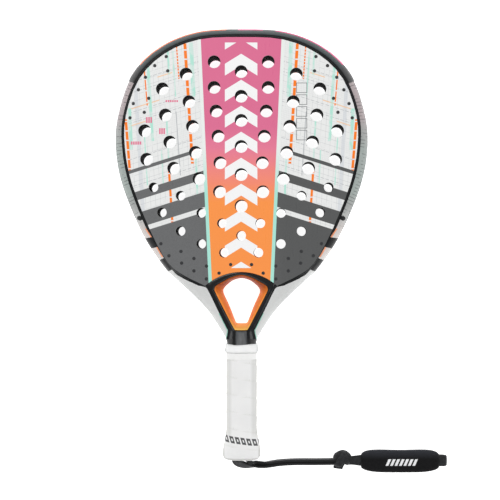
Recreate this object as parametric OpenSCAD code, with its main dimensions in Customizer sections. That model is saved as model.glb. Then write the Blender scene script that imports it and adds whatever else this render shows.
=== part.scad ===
// Padel racket lying on its rear face, with its wrist strap laid out beside the butt.
// +Y points to the tip of the head, +Z out of the front face, and the rear face is at Z = 0.
// X = 0 is the racket's own plane of symmetry, and Y = 0 is halfway along its length.

/* [Racket] */
// Width across the widest part of the head
head_width = 260; // [235:1:260]
// Overall length from the tip of the head to the butt
racket_length = 442; // [425:1:455]
// Thickness of the profile, from face to face
depth = 38; // [34:1:38]

/* [Face and core] */
// Thickness of each laminated face sheet
skin = 1.2; // [0.8:0.1:2]
// Width of the frame ledge that each face sheet is bonded to
ledge = 5; // [3:0.5:7]
// Diameter of the large holes through the face
big_hole = 13; // [11:0.5:13]
// Diameter of the small holes near the throat
small_hole = 9.8; // [9:0.2:11]

/* [Frame] */
// Wall thickness of the hollow frame tube
tube_wall = 2.2; // [1.5:0.1:3]
// Thickness of the protector let into the frame around the head
protector = 1; // [0.8:0.1:1.5]
// Thickness of the coloured liner in the throat opening
liner = 1.2; // [0.8:0.1:2]

/* [Handle] */
// Width of the bare octagonal shaft
shaft_w = 25.5; // [23:0.5:27]
// Depth of the bare octagonal shaft, front to rear
shaft_d = 22.7; // [20:0.1:24]
// Thickness of the cushioned base grip
base_t = 2.2; // [1.5:0.1:2.5]
// Thickness of the overgrip wound on top of it
over_t = 0.7; // [0.5:0.1:1]
// How far the butt stands out past the grip on each side
flare = 4.2; // [2:0.1:5]

/* [Wrist strap] */
// Width of the strap webbing
web_w = 11; // [9:0.5:12]
// Thickness of the strap webbing
web_t = 3; // [2:0.1:3]
// Length of the padded cuff
cuff_l = 81; // [70:1:82]
// Width of the padded cuff
cuff_w = 23; // [20:0.5:24]
// Thickness of the padded cuff
cuff_t = 11.6; // [9:0.1:12]

/* [Hidden] */

$fn = 48;
mid_z = depth / 2;
sx = head_width / 260;
sy = racket_length / 442;
tip_y = racket_length / 2;
butt_y = -tip_y;
past = 1;          // how far a cutting shape runs past the solid that it cuts
glue = 0.3;        // bond line between the throat liner and the moulding

// ---- Outlines. Each list is the right half, from the head's tip down to the neck. ----
// Edge of the flat face: where the frame starts to round over.
face_edge = [
  [0, 210.5], [43, 208], [78, 193.5], [103.5, 168], [117, 131], [118, 98.5],
  [111, 62], [92, 13.5], [74, -19], [58, -31.5], [41, -40], [35.5, -44],
  [31.5, -51], [23.5, -67.5], [15, -84.5], [13.8, -88]];
// Ridge of the frame at half its depth, matched to face_edge point by point.
ridge = [
  [0, 221], [46, 218], [84, 202.5], [112.5, 174], [127.1, 133], [129.6, 98],
  [122, 58.5], [101, 9], [79, -24], [66, -37], [53, -49], [46, -56],
  [40, -62], [31, -73], [22.5, -86], [21.6, -88]];
// Throat opening, from the bridge down to the neck: at the faces and at mid-depth.
throat_face = [
  [0, -31], [10, -33.4], [18, -37.5], [25.5, -42], [27, -45],
  [26, -49], [17, -67], [7.5, -85], [5, -87], [0, -87.2]];
throat_mid = [
  [0, -33.5], [9, -35.8], [15, -40], [18.8, -44], [20, -47.5],
  [18.8, -52], [13.3, -64.5], [7.2, -79], [5, -82], [0, -82.4]];
edge_steps = 3;      // samples between two outline points
corner_i = 10;       // the face_edge point where the face sheet's lower corner begins
bridge_end_i = 14;   // throat sample where the bridge meets an arm
throat_low_i = 24;   // throat sample at the opening's lower corner
bridge_gap = 1;       // bond line between the bridge's end and the arm
arm_corner = [38.6, -35.6];
bridge_angle = 38;   // half angle of the bridge's arc
neck_top = -88 * sy;
bridge_r = 54.5;     // radius of the face sheet's lower edge, over the bridge
bridge_top = -28;    // Y of that edge on the axis
bridge_centre = [0, (bridge_top - bridge_r) * sy];
sheet_corner = [36.5, -42];
protector_end = 10;  // sample where the head protector ends, on each side

// Through holes: [x, y] of the right half; x = 0 is on the axis.
big_holes = [
  [0, 175.5], [0, 150.5], [0, 126], [0, 99.5], [0, 71], [0, 39],
  [27.5, 185.5], [27.5, 159.5], [25.5, 135.5], [23.5, 110], [21.5, 83], [22, 53.5],
  [56, 173], [53, 145], [49.5, 120], [46.5, 93.5], [43, 67],
  [80, 158], [77, 131.5], [72.5, 104], [68.5, 77.5],
  [98, 115.5], [96, 86.5]];
small_holes = [
  [0, 9], [19.5, 21.5], [17.5, -8.5], [40.5, 32], [40.5, 0.5],
  [61.5, 49.5], [61.5, 13.5], [89, 58], [80.5, 32.5]];

// Shares of the half depth at which a curved side is cut into rings.
levels = [-1, -0.85, -0.5, 0, 0.5, 0.85, 1];

// ---- Functions on points and curves ----
// A point between b and c on the smooth curve through a, b, c and d.
function curve_point(a, b, c, d, u) =
  b + 0.5 * u * (c - a + u * (2 * a - 5 * b + 4 * c - d + u * (3 * (b - c) + d - a)));
// The smooth curve through a list of points; before is the point ahead of the first one.
function smooth(p, n, before) = concat(
  [for (i = [0 : len(p) - 2], j = [0 : n - 1])
    curve_point(
      i == 0 ? before : p[i - 1],
      p[i],
      p[i + 1],
      i == len(p) - 2 ? 2 * p[i + 1] - p[i] : p[i + 2],
      j / n)],
  [p[len(p) - 1]]);
// The smooth half outline through points that start on the axis, at the driving sizes.
function half_curve(p) =
  [for (q = smooth(p, edge_steps, [-p[1].x, p[1].y])) [q.x * sx, q.y * sy]];
function unit(v) = v / norm(v);
function mirrored(p) = [for (i = [len(p) - 1 : -1 : 0]) [-p[i].x, p[i].y]];
// Both halves in one run, without doubling the points on the axis.
function whole(half) = concat(half, [for (q = mirrored(half)) if (abs(q.x) > 0.001) q]);
// From the right neck over the tip to the left neck.
function over_tip(half) = concat(
  [for (i = [len(half) - 1 : -1 : 0]) half[i]],
  [for (i = [1 : len(half) - 1]) [-half[i].x, half[i].y]]);
// Every point moved by d across the curve, outwards where d is above 0.
function moved(p, d) = [for (i = [0 : len(p) - 1])
  let (
    before = i == 0 ? [-p[1].x, p[1].y] : p[i - 1],
    after = i == len(p) - 1 ? 2 * p[i] - p[i - 1] : p[i + 1],
    along = unit(after - before),
    step = is_list(d) ? d[i] : d)
  p[i] + step * [-along.y, along.x]];
// Share of the way from the face edge to the ridge at a share t of the half depth.
function bulge(t) = 1 - t * t;
function mix(a, b, f) = a + (b - a) * f;
function lifted(q, z) = [q.x, q.y, z];

// ---- Frame sections ----
edge_half = half_curve(face_edge);
ridge_half = half_curve(ridge);
last_i = len(edge_half) - 1;
seat_end = corner_i * edge_steps + 1;
arm_start = corner_i * edge_steps;
ridge_cut = moved(ridge_half,
  [for (i = [0 : last_i]) i <= protector_end ? -protector : 0]);
pocket_half = moved(edge_half, -ledge);
throat_face_half = half_curve(throat_face);
throat_mid_half = half_curve(throat_mid);
// The inner wall of an arm: past the bridge's end with a gap, then along the throat opening.
function arm_wall(throat, neck) =
  let (
    a = bridge_point(bridge_angle, bridge_r),
    b = throat[bridge_end_i],
    n = unit(b - a),
    gap = bridge_gap * [-n.y, n.x])
  concat(
    [arm_corner, a + gap, mix(a, b, 0.5) + gap, b + gap],
    [for (i = [bridge_end_i + 1 : throat_low_i]) throat[i]],
    [mix(throat[throat_low_i], neck, 0.5), neck]);
arm_face_wall = arm_wall(throat_face_half, [6.4 * sx, neck_top]);
arm_mid_wall = arm_wall(throat_mid_half, [6.2 * sx, neck_top]);
inner_face_half = concat([for (i = [0 : arm_start - 1]) pocket_half[i]], arm_face_wall);
inner_mid_half = concat([for (i = [0 : arm_start - 1]) pocket_half[i]], arm_mid_wall);
frame_edge = over_tip(edge_half);
frame_ridge = over_tip(ridge_cut);
frame_inner_face = over_tip(inner_face_half);
frame_inner_mid = over_tip(inner_mid_half);

// One section of the frame: round the outside from front to rear, then back inside.
// Where the face sheet sits, the section is cut back by the sheet's thickness.
function frame_section(i) =
  let (
    a = frame_edge[i],
    c = frame_ridge[i],
    f = frame_inner_face[i],
    m = frame_inner_mid[i],
    seated = abs(i - last_i) <= seat_end,
    drop = seated ? skin : 0,
    lip = seated ? a : mix(a, f, 0.3),
    half = mid_z - drop)
  concat(
    [for (k = [len(levels) - 1 : -1 : 0])
      lifted(mix(a, c, bulge(levels[k])), mid_z * (1 + levels[k]))],
    [lifted(lip, drop)],
    [for (t = [-1, -0.5, 0, 0.5, 1]) lifted(mix(f, m, bulge(t)), mid_z + t * half)],
    [lifted(lip, depth - drop)]);
// The same section shrunk about its middle, which leaves the wall of the tube.
function hollow_section(s) =
  let (
    x0 = min([for (q = s) q.x]), x1 = max([for (q = s) q.x]),
    y0 = min([for (q = s) q.y]), y1 = max([for (q = s) q.y]),
    c = [(x0 + x1) / 2, (y0 + y1) / 2, mid_z],
    wide = norm([x1 - x0, y1 - y0]) / 2,
    fx = max(0.4, 1 - tube_wall / wide),
    fz = 1 - 1.6 * tube_wall / mid_z)
  [for (q = s) [c.x + (q.x - c.x) * fx, c.y + (q.y - c.y) * fx, c.z + (q.z - c.z) * fz]];

// ---- Face sheet and core outlines ----
function bridge_point(a, r) = bridge_centre + r * [sin(a) * sx, cos(a) * sy];
function bridge_arc(r) = [for (k = [8 : -1 : -8]) bridge_point(bridge_angle * k / 8, r)];
function closed_face(half, corner, arc) = concat(
  [for (i = [0 : arm_start]) half[i]],
  corner,
  arc,
  [for (q = mirrored(corner)) q],
  [for (i = [arm_start : -1 : 1]) [-half[i].x, half[i].y]]);
sheet_outline = closed_face(
  edge_half, [[sheet_corner.x * sx, sheet_corner.y * sy]], bridge_arc(bridge_r));
core_outline = closed_face(pocket_half, [], bridge_arc(bridge_r + ledge));

// ---- Throat bridge sections, from the right end to the left end ----
bridge_steps = 8;
function throat_at(half, k) = let (
    i = round(abs(k) / bridge_steps * bridge_end_i), q = half[i]) [k < 0 ? -q.x : q.x, q.y];
function bridge_section(k) =
  let (
    side = bridge_angle * k / bridge_steps,
    a = bridge_point(side, bridge_r),
    w = bridge_point(side, bridge_r + ledge - 0.4),
    f = throat_at(throat_face_half, k),
    m = throat_at(throat_mid_half, k))
  concat(
    [for (i = [len(levels) - 1 : -1 : 0])
      lifted(mix(f, m, bulge(levels[i])), mid_z * (1 + levels[i]))],
    [lifted(a, 0), lifted(a, skin), lifted(w, skin)],
    [lifted(w, depth - skin), lifted(a, depth - skin), lifted(a, depth)]);

// ---- Handle: stations of [y, half width, half depth, half flat width, half flat depth] ----
neck_end = -102.5 * sy;
collar_y = -103 * sy;
tape_y = -111 * sy;
grip_top = -106 * sy;
flare_y = -186 * sy;
round_y = butt_y + 5;
cap_floor = 3.3;
lap = 17.5;          // rise of one turn of the overgrip
staple_seat = shaft_d / 2 + 0.5;    // height of a staple's crown above the shaft's middle
bevel = 0.55;        // share of a shaft side that is flat, between the bevels
grip_w = shaft_w + 2 * (base_t + over_t);
grip_d = shaft_d + 2 * (base_t + over_t);
// Extra half size of the handle at y, where it widens into the butt.
function swell(y) = y > flare_y ? 0 :
  let (u = min(1, (flare_y - y) / (flare_y - round_y))) flare * u * u * (3 - 2 * u);
function ring_at(y, w, d, flat_w, flat_d) = [
  [w, y, mid_z - flat_d], [w, y, mid_z + flat_d],
  [flat_w, y, mid_z + d], [-flat_w, y, mid_z + d],
  [-w, y, mid_z + flat_d], [-w, y, mid_z - flat_d],
  [-flat_w, y, mid_z - d], [flat_w, y, mid_z - d]];
// An octagonal ring at y around the shaft, grown by g on every side.
function shaft_ring(y, g) =
  let (w = shaft_w / 2 + g, d = shaft_d / 2 + g) ring_at(y, w, d, w * bevel, d * bevel);
// Rings from y0 down to y1 that swell with the butt, grown by g.
function swelling(y0, y1, g) = concat(
  y0 > flare_y ? [shaft_ring(y0, g)] : [],
  [for (i = [0 : 6]) let (y = flare_y + (y1 - flare_y) * i / 6) shaft_ring(y, g + swell(y))]);

// ---- Wrist strap: routes of the webbing, chosen by hand, in mm ----
hitch = [19, -229];          // where the strap turns on its leads
slot_x = 7;                  // distance of each butt slot from the axis
slot_z = mid_z - 2;          // height of both butt slots
lead_left_route = [
  [0, -214.5, 17], [-4, -214.8, 17], [-6.6, -216.6, 17], [-7, -219, 17], [-7, -221.5, 16.6],
  [-5.8, -224.2, 15], [-3, -226.6, 12.5], [1, -228.6, 9.5], [6, -230, 7.2], [15.2, -230.7, 6]];
lead_right_route = [
  [0, -214.5, 17], [4, -214.8, 17], [6.6, -216.6, 17], [7, -219, 17], [7, -221.5, 16.6],
  [7.4, -223.4, 14.5], [8.6, -225, 11.5], [10.6, -226.6, 8.6], [15.2, -227.3, 6]];
run_route = [
  [19, -229, 6], [24, -229, 6], [30, -228.4, 6], [36, -227.4, 6], [44, -226.6, 6],
  [55, -226.1, 6], [66, -226, 6], [77, -226, 6], [88, -225.9, 6], [95, -225.7, 6]];
run_shift = 1.65;            // half the distance between the two runs' middles
knot_at = [104.2, -222.8];
knot_end = [95, 113.5];
loop_y = -224.7;             // Y of the wrist loop's middle
loop_top = 9.4;              // height of the loop's upper layer, inside the cuff
loop_root_x = 113.5;         // X where both layers leave the knot
loop_route = [
  [113.5, 9.4], [121, 9.4], [150, 9.4], [180, 9.4], [204, 9.4], [208.5, 9.2], [210.8, 8],
  [211.8, 5.6], [210.8, 3.2], [208.5, 1.9], [204, 1.7], [180, 1.7], [150, 1.7], [121, 1.7],
  [117, 1.9], [113.5, 2.6]];
tail_route = [
  [101.5, -226, 6.5], [100.6, -228, 6.3], [100, -230, 5.9], [99.6, -232.4, 5.2]];
cuff_x = 123.5;              // X of the cuff's end nearest the knot
cuff_z = 3.7;                // height of the cuff's underside

staple_y = -193;             // Y of the two staples that hold the butt cap
staple_l = 9;
staple_t = 0.8;

// ---- Solids made from rings of points ----
function quad(a, b, c, d) = [[a, b, c], [a, c, d]];
// Triangles that join ring k of n points to ring k2, from point number at on.
function band(n, at, k, k2) = [for (i = [0 : n - 1])
  each quad(at + k * n + i, at + k * n + (i + 1) % n, at + k2 * n + (i + 1) % n, at + k2 * n + i)];
function flipped(faces) = [for (f = faces) [f[2], f[1], f[0]]];
function middle(r) = [for (q = r) 1] * r / len(r);
// A solid through rings, closed at each end by a fan about the ring's middle.
// Rings that run the other way round are turned, so that their faces point outwards.
module swept(rings, turned = false) {
  n = len(rings[0]);
  m = len(rings);
  faces = concat(
    [for (k = [0 : m - 2]) each band(n, 0, k, k + 1)],
    [for (i = [0 : n - 1]) [m * n, (i + 1) % n, i]],
    [for (i = [0 : n - 1]) [m * n + 1, (m - 1) * n + i, (m - 1) * n + (i + 1) % n]]);
  polyhedron(
    [each [for (r = rings) each r], middle(rings[0]), middle(rings[m - 1])],
    turned ? flipped(faces) : faces);
}
// A closed hoop: the last ring joins the first.
module hoop(rings) {
  n = len(rings[0]);
  m = len(rings);
  polyhedron(
    [for (r = rings) each r],
    [for (k = [0 : m - 1]) each band(n, 0, k, (k + 1) % m)]);
}
// A wall between outer and inner rings of one count, open at both ends.
module tube(outer, inner) {
  n = len(outer[0]);
  m = len(outer);
  polyhedron(
    [each [for (r = outer) each r], each [for (r = inner) each r]],
    concat(
      [for (k = [0 : m - 2]) each band(n, 0, k, k + 1)],
      flipped([for (k = [0 : m - 2]) each band(n, m * n, k, k + 1)]),
      [for (i = [0 : n - 1]) each quad(m * n + i, m * n + (i + 1) % n, (i + 1) % n, i)],
      [for (i = [0 : n - 1]) let (e = (m - 1) * n)
        each quad(e + i, e + (i + 1) % n, m * n + e + (i + 1) % n, m * n + e + i)]));
}
// Flat webbing along a route, standing on its edge: rings upright across the route.
function edgewise(route, w, t) = [for (i = [0 : len(route) - 1])
  let (
    p = route[i],
    a = route[max(i - 1, 0)],
    b = route[min(i + 1, len(route) - 1)],
    along = unit([b.x - a.x, b.y - a.y]),
    n = [-along.y, along.x] * t / 2,
    e = 0.7)
  [for (c = [[1, e], [e, 1], [-e, 1], [-1, e], [-1, -e], [-e, -1], [e, -1], [1, -e]])
    [p.x + n.x * c[0], p.y + n.y * c[0], p.z + c[1] * w / 2]]];
// Flat webbing along a route of [x, z], lying on its side across Y.
function flatwise(route, y, w, t) = [for (i = [0 : len(route) - 1])
  let (
    p = route[i],
    a = route[max(i - 1, 0)],
    b = route[min(i + 1, len(route) - 1)],
    along = unit(b - a),
    n = [-along.y, along.x] * t / 2,
    e = 0.7)
  [for (c = [[1, 1 - 0.06], [e, 1], [-e, 1], [-1, 1 - 0.06],
      [-1, -1 + 0.06], [-e, -1], [e, -1], [1, -1 + 0.06]])
    [p.x + n.x * c[0], y + c[1] * w / 2, p.y + n.y * c[0]]]];
// An oval ring across X, of 12 points.
function oval(x, y, z, ry, rz) =
  [for (k = [0 : 11]) [x, y + ry * cos(30 * k), z + rz * sin(30 * k)]];
function shifted(route, d) = [for (i = [0 : len(route) - 1])
  let (
    a = route[max(i - 1, 0)],
    b = route[min(i + 1, len(route) - 1)],
    along = unit([b.x - a.x, b.y - a.y]))
  [route[i].x - along.y * d, route[i].y + along.x * d, route[i].z]];

module sheet_area() {
  polygon(sheet_outline);
}
module face_holes(z0, height) {
  for (h = big_holes, side = h.x == 0 ? [1] : [1, -1])
    translate([side * h.x * sx, h.y * sy, z0 - past])
      cylinder(d = big_hole, h = height + 2 * past);
  for (h = small_holes, side = h.x == 0 ? [1] : [1, -1])
    translate([side * h.x * sx, h.y * sy, z0 - past])
      cylinder(d = small_hole, h = height + 2 * past);
}
module face_sheet(z0) {
  difference() {
    translate([0, 0, z0]) linear_extrude(skin) sheet_area();
    face_holes(z0, skin);
  }
}
// An octagonal band around the handle from y0 down to y1, between two growths.
module octagon_band(y0, y1, g0, g1) {
  translate([0, y0, mid_z]) rotate([90, 0, 0]) linear_extrude(y0 - y1) difference() {
    polygon([for (q = shaft_ring(0, g1)) [q.x, q.z - mid_z]]);
    polygon([for (q = shaft_ring(0, g0)) [q.x, q.z - mid_z]]);
  }
}

// ---- Racket nodes ----
module frame() {
  sections = [for (i = [0 : 2 * last_i]) frame_section(i)];
  color("gainsboro") tube(sections, [for (s = sections) hollow_section(s)]);
}
module throat_bridge() {
  color([0.13, 0.13, 0.14])
    swept([for (k = [bridge_steps : -1 : -bridge_steps]) bridge_section(k)]);
}
module throat_liner() {
  stations = len(whole(throat_face_half));
  rings = [for (i = [0 : stations - 1])
    concat(
      [for (t = levels) let (
          f = whole(moved(throat_face_half, -glue))[i],
          m = whole(moved(throat_mid_half, -glue))[i])
        lifted(mix(f, m, bulge(t)), mid_z * (1 + t))],
      [for (k = [len(levels) - 1 : -1 : 0]) let (
          t = levels[k],
          f = whole(moved(throat_face_half, -glue - liner))[i],
          m = whole(moved(throat_mid_half, -glue - liner))[i])
        lifted(mix(f, m, bulge(t)), mid_z * (1 + t))])];
  color("darkorange") hoop(rings);
}
module front_face() {
  color("hotpink") face_sheet(depth - skin);
}
module rear_face() {
  color("hotpink") face_sheet(0);
}
module foam_core() {
  color([0.15, 0.15, 0.15]) difference() {
    translate([0, 0, skin]) linear_extrude(depth - 2 * skin) polygon(core_outline);
    face_holes(skin, depth - 2 * skin);
  }
}
module head_protector() {
  full = over_tip(ridge_half);
  rows = [for (k = [len(levels) - 2 : -1 : 1]) levels[k]];
  color([0.25, 0.25, 0.26]) swept([
    for (i = [last_i - protector_end : last_i + protector_end]) concat(
      [for (t = rows) lifted(mix(frame_edge[i], frame_ridge[i], bulge(t)), mid_z * (1 + t))],
      [for (k = [len(rows) - 1 : -1 : 0])
        lifted(mix(frame_edge[i], full[i], bulge(rows[k])), mid_z * (1 + rows[k]))])],
    turned = true);
}

// ---- Handle nodes ----
module handle_shaft() {
  rings = [
    ring_at(neck_top, 21.6 * sx, mid_z, 13.8 * sx, 4),
    ring_at(-93 * sy, 18.6 * sx, mid_z - 0.8, 14 * sx, 5),
    ring_at(-98 * sy, 16.4 * sx, mid_z - 3, 11 * sx, 6),
    ring_at(neck_end, 14.6 * sx, mid_z - 4.5, 8.5 * sx, 7),
    shaft_ring(neck_end - 0.5, 0),
    shaft_ring(butt_y + cap_floor + 1, 0)];
  bore = [for (r = rings) [for (q = r)
    [q.x * 0.8, q.y, mid_z + (q.z - mid_z) * 0.78]]];
  color([0.16, 0.16, 0.17]) difference() {
    tube(rings, bore);
    staple_slots(0.05);
  }
}
module handle_foam() {
  color("lightgray") swept([
    for (y = [neck_end - 1, butt_y + 9])
      [for (q = shaft_ring(y, 0)) [q.x * 0.79, y, mid_z + (q.z - mid_z) * 0.77]]]);
}
module staple_slots(gap) {
  for (z = [mid_z + shaft_d / 2 - 2, mid_z - shaft_d / 2 - 6])
    translate([-staple_l / 2 - gap, staple_y * sy - staple_t / 2 - gap, z])
      cube([staple_l + 2 * gap, staple_t + 2 * gap, 8]);
}
module butt_cap() {
  outer = [for (i = [0 : 6]) let (y = flare_y + (round_y - flare_y) * i / 6)
    shaft_ring(y, 1.2 + swell(y) * 0.85)];
  inner = [for (y = [butt_y + cap_floor + 0.1, flare_y]) shaft_ring(y, 0.1)];
  color("whitesmoke") difference() {
    swept(concat(inner, outer, [
      shaft_ring(butt_y + 1.5, 1 + flare * 0.75), shaft_ring(butt_y, flare * 0.4)]));
    for (side = [-1, 1])
      translate([side * slot_x - 2.2, butt_y - past, slot_z - web_w / 2 - 0.5])
        cube([4.4, 8, web_w + 1]);
    staple_slots(0.1);
  }
}
// Two wire staples, one through the front of the cap and one through the rear.
module cap_staples() {
  color("silver") for (side = [-1, 1]) {
    crown = mid_z + side * (staple_seat + staple_t / 2);
    leg = staple_seat + staple_t - shaft_d / 2 + 2;
    translate([-staple_l / 2, staple_y * sy - staple_t / 2, crown - staple_t / 2])
      cube([staple_l, staple_t, staple_t]);
    for (x = [-staple_l / 2, staple_l / 2 - staple_t])
      translate([x, staple_y * sy - staple_t / 2,
          side > 0 ? mid_z + shaft_d / 2 - 2 : mid_z - shaft_d / 2 + 2 - leg])
        cube([staple_t, staple_t, leg]);
  }
}
module base_grip() {
  out = concat(
    [shaft_ring(grip_top, base_t), shaft_ring(flare_y + 0.1, base_t)],
    [for (i = [0 : 6]) let (y = flare_y + (round_y - flare_y) * i / 6)
      shaft_ring(y, 1.25 + swell(y) * 0.85 + (base_t - 1.25) * (1 - i / 9))]);
  in = concat(
    [shaft_ring(grip_top, 0.05), shaft_ring(flare_y + 0.1, 0.05)],
    [for (i = [0 : 6]) let (y = flare_y + (round_y - flare_y) * i / 6)
      shaft_ring(y, 1.25 + swell(y) * 0.85)]);
  color([0.86, 0.86, 0.84]) tube(out, in);
}
// The overgrip is wound down the handle, so each turn stands on the edge of the last.
module overgrip() {
  turns = [for (y = [-117.8 : -lap : -183]) y];
  rows = concat(
    [[tape_y, 0]],
    [for (y = turns) each [[y, 0], [y - 0.6, 0.35], [y - lap + 1, 0]]]);
  straight = [for (r = rows) if (r[0] > flare_y + 1) r];
  out = concat(
    [for (r = straight) shaft_ring(r[0], base_t + over_t + r[1])],
    [for (i = [0 : 6]) let (y = flare_y + (round_y - flare_y) * i / 6)
      shaft_ring(y, base_t + over_t - 0.6 * i / 6 + swell(y) * 0.93)],
    [shaft_ring(round_y - 1.2, base_t + flare * 0.86), shaft_ring(butt_y + 1.6, 1.6 + flare * 0.78)]);
  in = concat(
    [for (r = straight) shaft_ring(r[0], base_t + 0.05)],
    [for (i = [0 : 6]) let (y = flare_y + (round_y - flare_y) * i / 6)
      shaft_ring(y, 1.3 + swell(y) * 0.85 + (base_t - 1.25) * (1 - i / 9))],
    [shaft_ring(round_y - 1.2, 1.4 + flare * 0.84), shaft_ring(butt_y + 1.6, 1.1 + flare * 0.76)]);
  color([0.93, 0.93, 0.92]) tube(out, in);
}
module finishing_tape() {
  g = base_t + over_t + 0.05;
  color([0.85, 0.85, 0.83]) octagon_band(tape_y - 0.2, tape_y - 6.4, g, g + 0.25);
}
// A rubber ring that is rolled over the top end of the grip.
module grip_collar() {
  g = shaft_w / 2;
  out = [
    [collar_y, 0.8], [collar_y - 0.6, 2.4], [collar_y - 2, 3.6], [collar_y - 3.8, 4],
    [collar_y - 5.6, 3.9], [collar_y - 7, 3.5], [tape_y + 0.3, 2.9]];
  in = [
    [collar_y, 0.05], [collar_y - 0.6, 0.05], [collar_y - 2, 0.05], [grip_top + 0.1, 0.05],
    [grip_top + 0.05, base_t + 0.05], [collar_y - 7, base_t + 0.05],
    [tape_y + 0.3, base_t + 0.05]];
  color([0.92, 0.92, 0.91]) tube(
    [for (r = out) shaft_ring(r[0], r[1])], [for (r = in) shaft_ring(r[0], r[1])]);
}

// ---- Wrist strap nodes ----
// The strap keeps its place at the butt when the racket's length is changed.
module at_butt() {
  translate([0, butt_y + 221, 0]) children();
}
module strap_lead_left() {
  color([0.12, 0.12, 0.13]) at_butt() swept(edgewise(lead_left_route, web_w, web_t));
}
module strap_lead_right() {
  color([0.12, 0.12, 0.13]) at_butt() swept(edgewise(lead_right_route, web_w, web_t));
}
// One of two runs side by side; its end is rounded about the hitch.
module strap_run(side) {
  nose = [for (c = [[-2.9, 0.5], [-2, 1.5], [0, 1.65]])
    let (w = c[1], m = side * (0.15 + w)) [for (q = [
      [w, 0.7], [0.7 * w, 1], [-0.7 * w, 1], [-w, 0.7],
      [-w, -0.7], [-0.7 * w, -1], [0.7 * w, -1], [w, -0.7]])
      [hitch.x + c[0], hitch.y + m + q[0] * 0.9, 6 + q[1] * web_w / 2]]];
  body = edgewise(shifted(run_route, side * run_shift), web_w, web_t);
  color([0.12, 0.12, 0.13]) at_butt()
    swept(concat([nose[0], nose[1]], body));
}
module strap_run_upper() {
  strap_run(1);
}
module strap_run_lower() {
  strap_run(-1);
}
// An overhand knot, pulled tight: two crossing turns of the doubled webbing.
module strap_knot() {
  rings = [
    [95, -225.7, 6, 4.6, 5.6], [96.2, -225, 6.6, 7.2, 6.3], [98.6, -223.8, 7.3, 9.2, 7],
    [101.4, -222.8, 7.6, 9.4, 7.3], [104, -222.4, 7.5, 7.9, 7], [106.6, -222.6, 7.4, 8.8, 7],
    [109.4, -223.4, 7, 8.4, 6.7], [112, -224.2, 6.4, 6.9, 6], [113.5, -224.7, 6, 6, 5.4]];
  color([0.12, 0.12, 0.13]) at_butt()
    swept([for (r = rings) oval(r[0], r[1], r[2], r[3], r[4])]);
}
module strap_tail() {
  color([0.12, 0.12, 0.13]) at_butt() swept([for (p = tail_route)
    [for (c = [[1, 0.7], [0.94, 1], [-0.94, 1], [-1, 0.7],
        [-1, -0.7], [-0.94, -1], [0.94, -1], [1, -0.7]])
      [p.x + c[0] * 4.75, p.y, p.z + c[1] * web_t / 2]]]);
}
module wrist_loop() {
  color([0.12, 0.12, 0.13]) at_butt() swept(flatwise(loop_route, loop_y, web_w, web_t));
}
// The cuff's rounded block, shrunk by g on every side.
module cuff_block(g) {
  r = cuff_w * 0.42 - g;
  low = cuff_z + g;
  high = cuff_z + cuff_t - g;
  edge = cuff_t * 0.36 - g;
  intersection() {
    translate([0, 0, low]) linear_extrude(high - low) hull()
      for (x = [cuff_x + g + r, cuff_x + cuff_l - g - r], y = [-1, 1])
        translate([x, loop_y + y * (cuff_w / 2 - g - r)]) circle(r);
    translate([cuff_x + g, 0, 0]) rotate([90, 0, 90]) linear_extrude(cuff_l - 2 * g) hull()
      for (y = [-1, 1], z = [low + edge, high - edge])
        translate([loop_y + y * (cuff_w / 2 - g - edge), z]) circle(edge);
  }
}
module cuff_channel(g) {
  translate([
      cuff_x - past, loop_y - web_w / 2 - 0.6 - g, loop_top - web_t / 2 - 0.35 - g])
    cube([cuff_l + 2 * past, web_w + 1.2 + 2 * g, web_t + 0.7 + 2 * g]);
}
module cuff_cover() {
  color([0.1, 0.1, 0.1]) at_butt() difference() {
    cuff_block(0);
    cuff_block(0.8);
    cuff_channel(0);
  }
}
module cuff_foam() {
  color([0.3, 0.3, 0.3]) at_butt() difference() {
    cuff_block(0.8);
    cuff_channel(0);
  }
}

frame();
throat_bridge();
throat_liner();
front_face();
rear_face();
foam_core();
head_protector();
handle_shaft();
handle_foam();
butt_cap();
cap_staples();
base_grip();
overgrip();
finishing_tape();
grip_collar();
strap_lead_left();
strap_lead_right();
strap_run_upper();
strap_run_lower();
strap_knot();
strap_tail();
wrist_loop();
cuff_cover();
cuff_foam();
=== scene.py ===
# %% [markdown]
# # A padel racket
#
# A padel racket is a hollow fibre moulding with two drilled face sheets bonded over a foam core.
# Its handle is wound with a white tape, and a flat strap with a padded cuff hangs from the butt.
# The CAD frame already has every part at its true size. Here each visible part gets its finish:
# rounded edges, lacquer, print, tape, webbing and padding.

import bpy
import numpy as np
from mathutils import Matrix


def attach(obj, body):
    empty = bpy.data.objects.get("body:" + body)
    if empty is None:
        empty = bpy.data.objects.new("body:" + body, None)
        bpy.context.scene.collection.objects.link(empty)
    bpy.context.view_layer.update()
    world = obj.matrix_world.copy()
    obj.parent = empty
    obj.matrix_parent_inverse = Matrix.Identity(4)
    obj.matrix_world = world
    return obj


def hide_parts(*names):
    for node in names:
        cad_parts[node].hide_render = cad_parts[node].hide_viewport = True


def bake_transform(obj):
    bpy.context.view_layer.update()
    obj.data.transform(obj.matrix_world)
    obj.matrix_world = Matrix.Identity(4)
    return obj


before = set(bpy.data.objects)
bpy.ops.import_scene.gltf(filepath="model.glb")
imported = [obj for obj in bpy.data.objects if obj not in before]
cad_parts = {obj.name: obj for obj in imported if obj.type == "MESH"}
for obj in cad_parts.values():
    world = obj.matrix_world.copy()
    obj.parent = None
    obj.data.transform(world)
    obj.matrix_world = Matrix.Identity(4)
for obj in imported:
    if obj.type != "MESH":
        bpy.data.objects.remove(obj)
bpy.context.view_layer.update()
MM = 0.001
DEPTH = 38.0
MID_Z = DEPTH / 2
print("CAD nodes:", len(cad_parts))

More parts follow.
